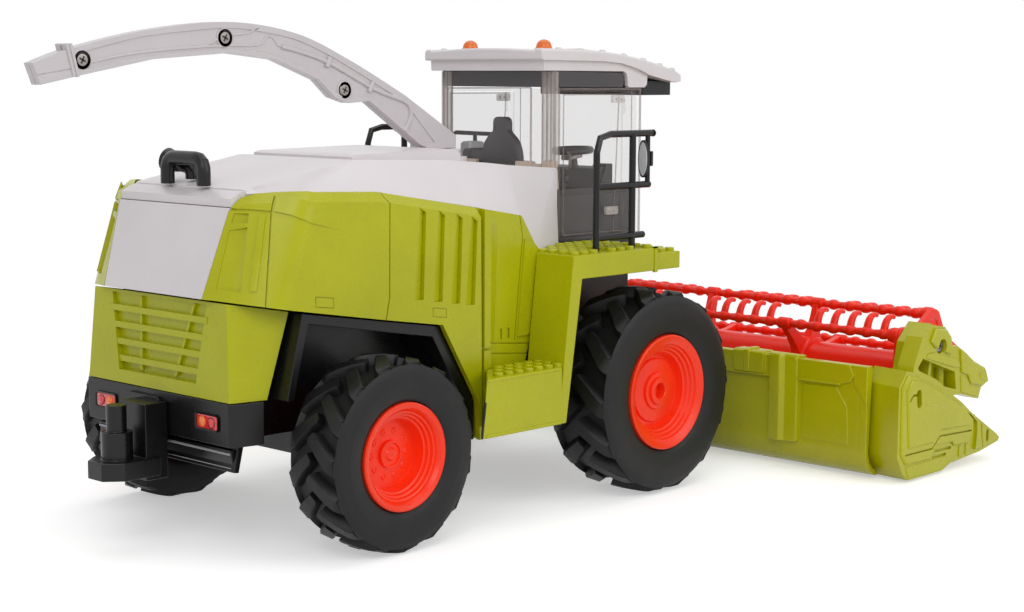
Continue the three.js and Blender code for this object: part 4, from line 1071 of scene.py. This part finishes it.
def door_trim():
    bits = Bits()
    y = -38.75
    line = [(191.1, y, 188.0), (187.4, y, 120.2)]
    bits.tube(line, 0.34, 8)
    bits.tube([(150.2, y, 120.0), (150.2, y, 187.6)], 0.34, 8)
    bits.tube([(150.2, y, 120.2), (194.2, y, 120.2)], 0.34, 8)
    bits.tube([(150.2, y, 187.6), (194.2, y, 187.6)], 0.34, 8)
    hinges = Bits()
    for x0, x1, z0, z1 in ((185.2, 194.2, 183.4, 187.2), (180.8, 189.8, 128.6, 132.6)):
        outline = rounded_outline(x0, x1, z0, z1, 0.9, 3)
        hinges.prism(outline, "y", -40.0, -38.4)
        for k in (0.3, 0.68):
            hinges.lathe([(0.75, 0.0), (0.75, 0.5), (0.4, 0.7)],
                         (x0 + (x1 - x0) * k, -39.9, (z0 + z1) / 2), (0, -1, 0), 14)
    handle = Bits()
    handle.tube([(153.2, -38.6, 152), (153.2, -40.6, 153), (153.2, -40.6, 159),
                 (153.2, -38.6, 160)], 0.7, 8)
    for side, sign in (("right", 1), ("left", -1)):
        body = f"door_{side}"
        for name, part, material in (("door_line", bits, "clear_edge"),
                                     ("door_hinge", hinges, "clear_post"),
                                     ("door_pull", handle, "clear_edge")):
            made = part if sign > 0 else part.mirrored()
            put(f"{name}_{side}", made, material, body, "clear", angle=30)


def seat_piece():
    bits = Bits()
    shape = [(153.6, 12.9), (157, 12.7), (160.5, 12.2), (164.0, 10.9), (166.6, 8.9), (168.4, 6.6),
             (169.6, 5.2), (171.0, 4.9),
             (174.4, 4.9), (175.8, 4.3), (176.5, 3.0)]
    rings = []
    for x, share in ((146.0, 0.86), (146.5, 0.96), (147.6, 1.0), (149.6, 1.0), (150.6, 0.93),
                     (150.9, 0.8)):
        right = [(-half + (1 - share) * 5.0, z - (1 - share) * 6.0 * (1 if z > 160 else 0.2))
                 for z, half in shape]
        outline = right + [(-y, z) for y, z in reversed(right)]
        rings.append([(x, y, z) for y, z in outline])
    bits.loft(rings)
    # pad on the back rest, cushion, base and its plate
    pad = [[(150.4 + k, y, z)
            for y, z in rounded_outline(-9.4 + k, 9.4 - k, 147.5 + k, 163.0 - k, 3.0, 5)]
            for k in (0, 1.2)]
    bits.loft(pad)
    bits.prism(rounded_outline(145.4, 151.2, -18.0, 18.0, 1.2), "z", 153.0, 155.3)
    cushion = []
    for z, grow in ((141.2, -0.6), (142.2, 0), (145.6, 0), (147.2, -1.0), (147.8, -3.0)):
        cushion.append([(x, y, z)
                        for x, y in rounded_outline(150 - grow, 175 + grow, -12.8 - grow, 12.8 + grow, 3.0,
                                             5)])
    bits.loft(cushion)
    bits.prism(rounded_outline(152.5, 169.5, -8.5, 8.5, 2.0), "z", 118.0, 141.8)
    put("contoured_seat", bits, "cab_black", "root", "cab_black", ("driver_seat",), angle=38)
    # controls on the left of the seat
    box, dark = Bits(), Bits()
    box.loft([[(x, y, z) for x, y in rounded_outline(152.5 + g, 163.5 - g, 26.5 + g, 34.4 - g, 1.6)]
              for z, g in
              ((140.8, 0), (162.0, 0), (163.2, 0.5), (163.6, 1.4))])
    dark.loft([[(x, y, z)
                for x, z in rounded_outline(146.2 + g, 161.8 - g, 150.0 + g, 160.4 - g, 2.4)] for y, g in
               ((20.6, 0.8), (21.2, 0), (25.6, 0), (26.2, 0.8))])
    dark.tube([(146.6, 34.2, 150), (146.6, 34.2, 167), (150, 34.2, 168), (176, 34.2, 166.6)], 1.1,
              10)
    dark.tube([(163.6, 34.2, 150), (163.6, 34.2, 167.4)], 1.1, 10)
    dark.lathe([(1.0, -4), (1.0, 3), (1.7, 3.6), (1.9, 5), (1.2, 6.2)], (171, -20.5, 141),
               (0.2, 0, 1), 14)
    put("control_box", box, "grey_trim", "root", "none", angle=35)
    put("side_console", dark, "cab_black", "root", "cab_black", angle=35)


def steering_piece():
    wheel, hub, dash = Bits(), Bits(), Bits()
    centre = Vector((200.4, 0, 158.6))
    lean = Vector((-0.05, 0, 1)).normalized()
    fore = Vector((1, 0, 0.05)).normalized()
    side = Vector((0, 1, 0))
    ring = [centre + (fore * math.cos(a) + side * math.sin(a)) * 9.2
            for a in (2 * math.pi * k / 40 for k in range(40))]
    wheel.tube(ring, 1.8, 12, closed=True)
    for turn in (90, 210, 330):
        a = math.radians(turn)
        spoke = fore * math.cos(a) + side * math.sin(a)
        across = side * math.cos(a) - fore * math.sin(a)
        wheel.loft([[centre - lean * drop + spoke * r + across * w * s + lean * t
                     for s, t in ((-1, -0.5), (1, -0.5), (1, 0.5), (-1, 0.5))]
                    for r, w, drop in ((2.0, 1.6, 2.0), (5.5, 1.1, 1.2), (9.0, 0.9, 0.1))])
    wheel.lathe([(2.2, 0.0), (2.2, 1.0), (2.6, 6.0), (4.2, 12.6), (4.6, 16.6)], centre - lean * 3.0,
                -lean, 24)
    wheel.lathe([(2.4, -3.4), (2.9, -2.6), (2.9, -1.2), (2.2, -0.6)], centre, lean, 24)
    put("dished_steering_wheel", wheel, "cab_black", "root", "cab_black", ("steering_wheel",),
        angle=38)
    hub.prism([(195.2, 153.6), (204.4, 155.0), (204.2, 156.6), (201.0, 157.2), (195.0, 156.0)], "y",
              -3.6, 3.6)
    put("column_switch", hub, "steel", "root", "none", rounding=0.6)
    dash.prism([(197.5, 140.5), (202.6, 152.4), (206.9, 152.4), (206.9, 140.5)], "y", -21.5, -12.0)
    dash.prism([(199.5, 140.5), (203.6, 149.0), (206.9, 149.0), (206.9, 140.5)], "y", -12.1, 12.0)
    dash.prism([(198.5, 140.5), (203.0, 150.5), (206.9, 150.5), (206.9, 140.5)], "y", 11.9, 20.0)
    for sign in (-1, 1):
        # rail along the top of the side panel, and its posts
        dash.block(146.2, 206.8, *sorted((sign * 34.4, sign * 35.5)), 138.8, 142.0)
        dash.block(146.2, 151.6, *sorted((sign * 34.8, sign * 35.5)), 116.9, 141.0)
        dash.block(181.2, 184.6, *sorted((sign * 34.8, sign * 35.5)), 116.9, 139.5)
        dash.block(146.2, 206.8, *sorted((sign * 34.8, sign * 35.55)), 116.7, 121.2)
    put("dash_and_rails", dash, "trim_black", "root", "cab_black", rounding=0.5)


def mirror_pieces():
    glass = Bits()
    rings = []
    for x, share in ((162.4, 0.86), (161.9, 0.9), (161.75, 0.84)):
        rings.append([(x, -78.4 + 2.7 * share * math.cos(a), 158 + 8.8 * share * math.sin(a))
                      for a in (2 * math.pi * k / 28 for k in range(28))])
    glass.loft(rings)
    put_pair("mirror_face", glass, "grey_trim", "root", "none", angle=30)
    detail = Bits()
    detail.lathe([(1.75, 0), (1.75, 0.6), (1.2, 1.2)], (169.0, -78.4, 170.0), (1, 0, 0), 14)
    detail.block(166.9, 168.6, -79.4, -77.4, 154.5, 161.5)
    put_pair("mirror_back", detail, "black", "root", "black", rounding=0.3)


roof_piece()
tint_strip()
cab_posts()
door_trim()
seat_piece()
steering_piece()
mirror_pieces()


# ------------------------------------------------------------------ header
END_FACE = -165.0


def plate(bits, outline, rise, depth=0.8, chamfer=0.5, face=END_FACE):
    """A flat boss with a chamfered edge on the right-hand face of the header."""
    middle = Vector((sum(p[0] for p in outline), sum(p[1] for p in outline))) / len(outline)
    inner = []
    for x, z in outline:
        inward = middle - Vector((x, z))
        step = inward.normalized() * min(chamfer * 1.3, inward.length * 0.4)
        inner.append((x + step.x, z + step.y))
    bits.loft([
        [(x, face + depth, z) for x, z in outline],
        [(x, face - rise + min(chamfer, rise) * 0.8, z) for x, z in outline],
        [(x, face - rise, z) for x, z in inner],
    ])


def slot_hole(bits, x, z, width, height, deep, face=END_FACE, lean=0.0):
    """An upright oval hole cutter."""
    radius = width / 2
    reach = height / 2 - radius
    outline = []
    for k in range(17):
        turn = math.pi * k / 16
        outline.append((x + radius * math.cos(turn) + lean * reach,
                        z + reach + radius * math.sin(turn)))
    for k in range(17):
        turn = math.pi + math.pi * k / 16
        outline.append((x + radius * math.cos(turn) - lean * reach,
                        z - reach + radius * math.sin(turn)))
    bits.prism(outline, "y", face - 4, face + deep)


def header_end_pieces():
    cutters, raised = Bits(), Bits()
    face = Vector((0, -1, 0))

    def flat(points):
        return [(Vector((x, END_FACE, z)), face) for x, z in points]

    # main panel: an upper field over a stepped lower field
    plate(raised, [(254.0, 47.6), (254.4, 15.2), (259.0, 9.6), (281.5, 9.2), (286.0, 15.6),
                   (302.8, 14.8), (304.0, 12.8),
                   (318.5, 12.4), (322.6, 17.4), (322.8, 24.0), (317.4, 27.8), (311.0, 32.6),
                   (300.0, 38.4), (289.7, 43.6),
                   (270.0, 51.6), (259.4, 53.6)], 0.9, chamfer=0.7)
    plate(raised, [(257.4, 46.4), (260.2, 17.8), (281.8, 17.4), (289.4, 22.8), (319.4, 21.6),
                   (321.2, 24.2), (316.2, 27.4),
                   (310.4, 31.8), (289.2, 42.4), (270.0, 50.2), (262.0, 51.0)], 1.7, chamfer=0.7)
    cutters.stroke(flat([(257.8, 14.6), (282.6, 14.4), (290.0, 19.8), (320.8, 18.4)]),
                   [(-0.5, 3), (0.5, 3), (0.4, -0.4), (-0.4, -0.4)])
    for a, b in (((286.4, 12.6), (302.2, 12.2)), ((284.4, 9.6), (297.6, 9.5))):
        cutters.stroke([(Vector((x, END_FACE, z)), face) for x, z in (a, b)],
                       [(-0.75, 3), (0.75, 3), (0.7, -1.1), (-0.7, -1.1)])
    # step line across the upper field
    raised.stroke([(Vector((x, END_FACE - 1.6, z)), face)
                   for x, z in ((275.0, 37.6), (296.5, 32.6))],
                  [(-0.5, -0.6), (-0.5, 0.1), (0, 0.45), (0.9, 0.05), (0.9, -0.6)])
    # skid under the end
    plate(raised, [(259.2, 8.4), (262.2, 2.4), (293.6, 2.4), (300.4, 5.4), (297.0, 8.4)], 0.35,
          chamfer=0.3)
    # point of the end: ridge, web and oval hole
    plate(raised, [(318.6, 27.4), (323.0, 26.4), (329.2, 20.6), (331.2, 8.8), (324.4, 8.0),
                   (325.6, 15.6), (325.2, 23.0)], 1.4,
          chamfer=0.6)
    plate(raised, [(331.8, 20.4), (347.0, 12.4), (349.6, 10.6), (348.6, 9.8), (333.4, 8.0)], 0.5,
          chamfer=0.4)
    for x in (309.5, 316.0):
        plate(raised, [(x, 11.8), (x + 2.4, 11.8), (x + 2.6, 6.6), (x, 6.4)], 0.6, chamfer=0.3)
    slot_hole(cutters, 337.6, 13.4, 2.6, 6.6, 1.6)
    slot_hole(cutters, 268.0, 41.2, 4.2, 9.2, 2.6, lean=-0.12)
    cutters.stroke([(Vector((x, END_FACE, z)), face)
                    for x, z in ((259.6, 40.8), (262.6, 43.6), (267.4, 43.2))],
                   [(-0.55, 3), (0.55, 3), (0.5, -0.35), (-0.5, -0.35)])
    # the arm: screw block, bar under it, hooked front plate
    plate(raised, [(282.4, 74.2), (292.8, 73.0), (297.4, 68.8), (299.4, 62.0), (297.2, 60.0),
                   (283.4, 64.8), (278.6, 68.2)], 1.5,
          chamfer=0.7)
    plate(raised, [(277.4, 62.2), (282.0, 62.6), (305.8, 56.4), (308.2, 52.4), (303.4, 52.6),
                   (275.8, 60.2)], 0.7, chamfer=0.4)
    plate(raised, [(307.4, 61.4), (314.6, 57.6), (322.4, 53.0), (333.2, 48.2), (336.0, 42.2),
                   (330.6, 40.4), (318.6, 42.8),
                   (315.6, 47.4), (309.0, 49.6)], 1.1, chamfer=0.5)
    plate(raised, [(308.6, 48.4), (314.4, 46.2), (317.6, 41.4), (328.4, 39.2), (326.8, 34.8),
                   (310.0, 39.2)], 0.5, chamfer=0.4)
    plate(raised, [(326.0, 47.6), (330.4, 45.8), (331.4, 43.4), (326.6, 44.4)], 1.6, chamfer=0.5)
    cutters.lathe([(3.7, -3.0), (3.7, 1.3)], (288.8, END_FACE, 64.9), (0, 1, 0), 32)
    # struts seen through the window, and the rear shoulder of the post
    raised.lathe([(2.6, -9), (2.6, 9)], (299.6, -158.2, 49.0), (0, 0, 1), 20)
    raised.prism([(281.0, 44.5), (283.6, 60.5), (285.6, 60.0), (283.4, 44.0)], "y", -162.6, -156.5)
    right = carved("header_end_right", cutters, raised)
    left = flipped(right)
    for side, mesh in (("right", right), ("left", left)):
        put_mesh(f"header_divider_{side}", mesh, "header_green", "header",
                 (f"header_end_{side}",), 0.8)
    screw, shadow = Bits(), Bits()
    cross_screw(screw, shadow, (288.8, END_FACE + 0.9, 64.9), (0, -1, 0), 2.9)
    put_pair("divider_screw", screw, "steel", "header", "none", angle=30)
    # painted shadow in the screw's cross recess and round its head
    put_pair("divider_screw_slot", shadow, "painted_screw_shadow", "header", "none")


def trough_piece():
    """Bent sheet with a folded rim, upright ribs and closed ends."""
    half = 148.6
    turn, wall, rear, low = 14.0, 2.4, 250.0, 1.2
    outer = []
    inner = []
    for k in range(13):
        angle = math.pi + k / 12 * math.pi / 2
        centre = (rear + turn, low + turn)
        outer.append((centre[0] + turn * math.cos(angle), centre[1] + turn * math.sin(angle)))
        inner.append((centre[0] + (turn - wall) * math.cos(angle),
                      centre[1] + (turn - wall) * math.sin(angle)))
    profile = [(rear, 56.5)] + outer + [(330, low), (336, low + 1.6), (336, low + 3.2),
                                        (330, low + wall + 0.8)]
    profile += inner[::-1] + [(rear + wall, 47.5), (rear + 7, 52.5), (rear + 7, 56.5)]
    bits = Bits()
    bits.prism([(x, z) for x, z in profile], "y", -143.9, 143.9)
    for sign in (-1, 1):
        # the sheet laps over the end divider
        lap = [(rear, 57.0)] + outer[:11] + inner[:11][::-1] + [(rear + 4.6, 57.0)]
        bits.prism(lap, "y", *sorted((sign * 143.5, sign * half)))
        # folded rim with its slanted end
        rim = [(sign * 20, 57.1), (sign * 139.0, 57.1), (sign * 141.4, 51.8), (sign * 139.4, 48.6),
               (sign * 133.0, 47.0), (sign * 20, 46.2)]
        bits.prism(rim, "x", rear - 1.5, rear + 0.5)
        bits.prism([(sign * 20, 46.9), (sign * 134, 47.7), (sign * 134, 46.4), (sign * 20, 45.6)],
                   "x", rear - 2.0, rear + 0.5)
        gusset = [(sign * 139.6, 57.0), (sign * 148.7, 57.0), (sign * 148.7, 37.6),
                  (sign * 141.2, 47.0)]
        bits.prism(gusset, "x", rear - 0.7, rear + 0.6)
        # raised part of the rim with two folds
        for y0, y1, rise in ((69.0, 88.0, 1.3), (76.0, 79.4, 2.1), (86.4, 89.4, 0.6)):
            section = [(rear - 1.5 - rise * 0.6, 47.0), (rear - 1.5 - rise * 0.6, 56.2 + rise),
                       (rear - 0.8, 57.2 + rise),
                       (rear + 7, 57.0 + rise), (rear + 7, 55), (rear + 0.4, 54)]
            bits.prism(section, "y", *sorted((sign * y0, sign * y1)))
        # upright rib with a ridge along it
        ring_top = [(rear + 0.5, sign * 91.4), (rear - 3.4, sign * 92.6), (rear - 4.6, sign * 99.4),
                    (rear - 2.6, sign * 101.6),
                    (rear - 1.9, sign * 108.4), (rear + 0.5, sign * 109.2)]
        rings = []
        for z, grow in ((14.6, 1.0), (46.0, 1.0), (56.6, 1.05), (58.6, 0.8)):
            rings.append([(rear + (x - rear) * grow, y, z + (0.6 if x > rear else 0))
                          for x, y in ring_top])
        bits.loft(rings)
        bits.prism([(rear - 2.4, 57.9), (rear + 7, 57.9), (rear + 7, 55.5), (rear - 2.4, 55.5)],
                   "y", *sorted((sign * 92.2, sign * 108.0)))
        # inset field of the rear wall
        bits.prism([(sign * 111.0, 44.6), (sign * 130.8, 45.4), (sign * 137.4, 36.0),
                    (sign * 138.4, 17.0), (sign * 111.0, 17.0)],
                   "x", rear - 0.45, rear + 0.5)
    # floor ribs towards the cutting edge
    for k in range(-6, 7):
        bits.block(283, 331, k * 22 - 0.8, k * 22 + 0.8, 3.0, 4.9)
    put("trough_shell", bits, "header_green", "header", "header_green", ("header_trough",), 0.5, 30)


header_end_pieces()
trough_piece()


# ------------------------------------------------------------------ reel
REEL = (313.2, 45.0)
REEL_RADIUS = 31.3
BAT_ANGLES = [(k + 0.243) * math.pi / 3 for k in range(6)]
SPIDER_GAP = 70.5
BUMP_STEP = SPIDER_GAP / 7


def reel_pieces():
    def around(angle, radius):
        return REEL[0] + radius * math.cos(angle), REEL[1] + radius * math.sin(angle)

    low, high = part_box("reel_core")
    end = (high.y - low.y) * 500
    core = Bits()
    core.lathe([(9.9, -end + 0.4), (10.6, -end + 1.2), (10.6, end - 1.2), (9.9, end - 0.4)],
               (REEL[0], 0, REEL[1]), (0, 1, 0), 48)
    places = [share * (end - 1.5) for share in (-1, -0.5, 0, 0.5, 1)]
    for y in places[1:-1]:
        core.lathe([(10.2, -5.2), (12.6, -4.6), (13.2, -3.2), (13.2, 3.2), (12.6, 4.6),
                    (10.2, 5.2)], (REEL[0], y, REEL[1]),
                   (0, 1, 0), 40)
        for angle in BAT_ANGLES:
            out = Vector((math.cos(angle), 0, math.sin(angle)))
            side = Vector((-math.sin(angle), 0, math.cos(angle)))
            hub = Vector((REEL[0], y, REEL[1]))
            rings = []
            for radius, half, thick in ((11.6, 5.2, 3.0), (16, 3.6, 2.3), (23, 2.9, 1.9),
                                        (29.4, 2.8, 1.8), (31.6, 2.6, 1.8)):
                section = [(-half, -thick), (half, -thick), (half, thick), (-half, thick)]
                rings.append([hub + out * radius + side * a + Vector((0, b, 0))
                              for a, b in section])
            core.loft(rings)
            x, z = around(angle, REEL_RADIUS)
            core.lathe([(2.4, -4.0), (3.0, -3.4), (3.0, 3.4), (2.4, 4.0)], (x, y, z), (0, 1, 0), 20)
    for y in (places[0], places[-1]):
        face = 1 if y > 0 else -1
        corners = []
        for angle in BAT_ANGLES:
            for turn in (-0.105, -0.035, 0.035, 0.105):
                corners.append(around(angle + turn, REEL_RADIUS + 3.2 - 6 * turn * turn * 10))
            corners.append(around(angle + math.pi / 6, REEL_RADIUS * 0.865))
        inner = [(REEL[0] + (x - REEL[0]) * 0.86, REEL[1] + (z - REEL[1]) * 0.86)
                 for x, z in corners]
        inmost = [(REEL[0] + (x - REEL[0]) * 0.44, REEL[1] + (z - REEL[1]) * 0.44)
                  for x, z in corners]
        outer_y, inner_y = y + 1.4 * face, y - 1.6 * face
        core.loft([
            [(x, inner_y, z) for x, z in corners],
            [(x, outer_y, z) for x, z in corners],
            [(x, outer_y, z) for x, z in inner],
            [(x, outer_y - 0.8 * face, z)
             for x, z in [(REEL[0] + (a - REEL[0]) * 0.97, REEL[1] + (b - REEL[1]) * 0.97)
                   for a, b in inner]],
            [(x, outer_y - 0.8 * face, z) for x, z in inmost],
        ])
        for angle in BAT_ANGLES:
            x, z = around(angle, REEL_RADIUS)
            core.lathe([(3.6, 0), (3.9, 1.0), (3.9, 4.4), (3.2, 6.4), (2.2, 7.6)], (x, y, z),
                       (0, -face, 0), 20)
    put("reel_frame", core, "red", "reel", "red", ("reel_core",), 0.35, 40)

    # bats: wavy bars with a collar and a curled tine at most of them
    stem = [(0.0, 0.2), (1.8, -1.2), (4.2, -2.4), (6.6, -2.9), (8.8, -2.6), (10.6, -1.4),
            (11.6, 0.4)]
    for k, angle in enumerate(BAT_ANGLES):
        x, z = around(angle, REEL_RADIUS)
        ahead = Vector((math.sin(angle), 0, -math.cos(angle)))
        inwards = Vector((-math.cos(angle), 0, -math.sin(angle)))
        bat = Bits()
        profile = [(1.75, -end + 0.6)]
        tines = []
        steps = round(end / BUMP_STEP)
        for n in range(-steps + 1, steps):
            y = n * BUMP_STEP
            profile += [(1.8, y - 3.4), (2.15, y - 2.5), (2.75, y - 1.2), (2.9, y), (2.75, y + 1.2),
                        (2.15, y + 2.5)]
            if abs(n) % 7 in (2, 3, 4, 5, 6):
                tines.append(y)
        profile.append((1.75, end - 0.6))
        bat.lathe(profile, (x, 0, z), (0, 1, 0), 14)
        for y in tines:
            rings = []
            for i, (t, n) in enumerate(stem):
                before = stem[max(i - 1, 0)]
                after = stem[min(i + 1, len(stem) - 1)]
                heading = Vector((after[0] - before[0], after[1] - before[1])).normalized()
                thick = 1.5 - 0.07 * i
                wide = 2.1 - 0.1 * i
                point = Vector((x, y, z)) + ahead * t + inwards * n
                across = ahead * -heading.y + inwards * heading.x
                rings.append([point + across * thick * a + Vector((0, wide * b, 0))
                              for a, b in ((-1, -0.6), (-1, 0.6), (-0.5, 1), (0.5, 1), (1, 0.6),
                                           (1, -0.6), (0.5, -1), (-0.5, -1))])
            bat.loft(rings)
        put(f"tined_bat_{k + 1}", bat, "red", "reel", "red", (f"reel_bat_{k + 1}",), angle=50)


reel_pieces()


# ------------------------------------------------------------------ stage
FLOOR_GLOW = 0.45  # how much of the floor's white doesn't depend on the lamps
def seen_directly(tree):
    """1 for camera, glossy and transmission rays, 0 for the light on the object."""
    path = tree.nodes.new("ShaderNodeLightPath")
    total = None
    for name in ("Is Camera Ray", "Is Glossy Ray", "Is Transmission Ray"):
        if total is None:
            total = path.outputs[name]
            continue
        both = tree.nodes.new("ShaderNodeMath")
        both.operation = "MAXIMUM"
        tree.links.new(total, both.inputs[0])
        tree.links.new(path.outputs[name], both.inputs[1])
        total = both.outputs["Value"]
    return total


def paper_floor():
    """White paper that keeps the object's shadow and fades to white around it."""
    material = bpy.data.materials.new("paper_floor")
    material.use_nodes = True
    tree = material.node_tree
    shader = tree.nodes["Principled BSDF"]
    shader.inputs["Base Color"].default_value = (0.86, 0.86, 0.86, 1)
    shader.inputs["Roughness"].default_value = 0.9
    shader.inputs["Specular IOR Level"].default_value = 0.1
    glow = tree.nodes.new("ShaderNodeEmission")
    glow.inputs["Color"].default_value = (1, 1, 1, 1)
    lit = tree.nodes.new("ShaderNodeAddShader")
    veil = tree.nodes.new("ShaderNodeEmission")
    tree.links.new(seen_directly(tree), veil.inputs["Strength"])
    level = tree.nodes.new("ShaderNodeMath")
    level.operation = "MULTIPLY"
    level.inputs[1].default_value = FLOOR_GLOW
    tree.links.new(seen_directly(tree), level.inputs[0])
    tree.links.new(level.outputs["Value"], glow.inputs["Strength"])
    tree.links.new(shader.outputs["BSDF"], lit.inputs[0])
    tree.links.new(glow.outputs["Emission"], lit.inputs[1])
    coords = tree.nodes.new("ShaderNodeTexCoord").outputs["Object"]
    far = tree.nodes.new("ShaderNodeVectorMath")
    far.operation = "LENGTH"
    tree.links.new(coords, far.inputs[0])
    fade = tree.nodes.new("ShaderNodeMapRange")
    fade.interpolation_type = "SMOOTHSTEP"
    fade.inputs["From Min"].default_value = 0.25
    fade.inputs["From Max"].default_value = 0.62
    tree.links.new(far.outputs["Value"], fade.inputs["Value"])
    both = tree.nodes.new("ShaderNodeMath")
    both.operation = "MULTIPLY"
    tree.links.new(fade.outputs["Result"], both.inputs[0])
    tree.links.new(seen_directly(tree), both.inputs[1])
    mix = tree.nodes.new("ShaderNodeMixShader")
    tree.links.new(both.outputs["Value"], mix.inputs["Fac"])
    tree.links.new(lit.outputs["Shader"], mix.inputs[1])
    tree.links.new(veil.outputs["Emission"], mix.inputs[2])
    tree.links.new(mix.outputs["Shader"], tree.nodes["Material Output"].inputs["Surface"])
    return material


def make_stage():
    scene = bpy.context.scene
    scene.view_settings.view_transform = "Standard"
    world = bpy.data.worlds.new("studio")
    scene.world = world
    world.use_nodes = True
    tree = world.node_tree
    back = tree.nodes["Background"]
    back.inputs["Color"].default_value = (1, 1, 1, 1)
    level = tree.nodes.new("ShaderNodeMapRange")
    level.inputs["To Min"].default_value = 0.42
    level.inputs["To Max"].default_value = 1.0
    tree.links.new(seen_directly(tree), level.inputs["Value"])
    tree.links.new(level.outputs["Result"], back.inputs["Strength"])
    floor_mesh = bpy.data.meshes.new("floor")
    floor_mesh.from_pydata([(-6, -6, 0), (6, -6, 0), (6, 6, 0), (-6, 6, 0)], [], [(0, 1, 2, 3)])
    floor = bpy.data.objects.new("floor", floor_mesh)
    scene.collection.objects.link(floor)
    floor_mesh.materials.append(paper_floor())
    for name, size, place, aim, power in (
        ("key", (1.3, 1.3), (-1.5, -1.2, 1.5), (0, 0, 0.08), 15),
        ("side", (1.6, 1.2), (0.6, -1.9, 1.0), (0, 0, 0.1), 11),
        ("top", (1.8, 1.8), (0.2, 0.2, 2.2), (0, 0, 0.1), 12),
    ):
        light = bpy.data.lights.new(name, "AREA")
        light.shape = "RECTANGLE"
        light.size, light.size_y = size
        light.energy = power
        lamp = bpy.data.objects.new(name, light)
        scene.collection.objects.link(lamp)
        lamp.location = place
        lamp.rotation_mode = "QUATERNION"
        lamp.rotation_quaternion = (Vector(aim) - Vector(place)).to_track_quat("-Z", "Y")


def make_camera():
    azimuth, drop, roll = (math.radians(a) for a in (43.607, 7.163, 0.198))
    along = Vector((math.cos(drop) * math.cos(azimuth), math.cos(drop) * math.sin(azimuth),
                    -math.sin(drop)))
    right = Vector((math.sin(azimuth), -math.cos(azimuth), 0))
    up = right.cross(along)
    turned_right = math.cos(roll) * right + math.sin(roll) * up
    turned_up = -math.sin(roll) * right + math.cos(roll) * up
    data = bpy.data.cameras.new("camera")
    data.sensor_width = 36
    data.lens = 64.52
    data.clip_start = 0.01
    camera = bpy.data.objects.new("camera", data)
    bpy.context.scene.collection.objects.link(camera)
    turn = Matrix((turned_right, turned_up, -along)).transposed().to_4x4()
    camera.matrix_world = Matrix.Translation((-0.62292, -0.62980, 0.19671)) @ turn
    bpy.context.scene.camera = camera


make_stage()
make_camera()


def corners(box):
    return [[round(value, 6) for value in corner] for corner in box]
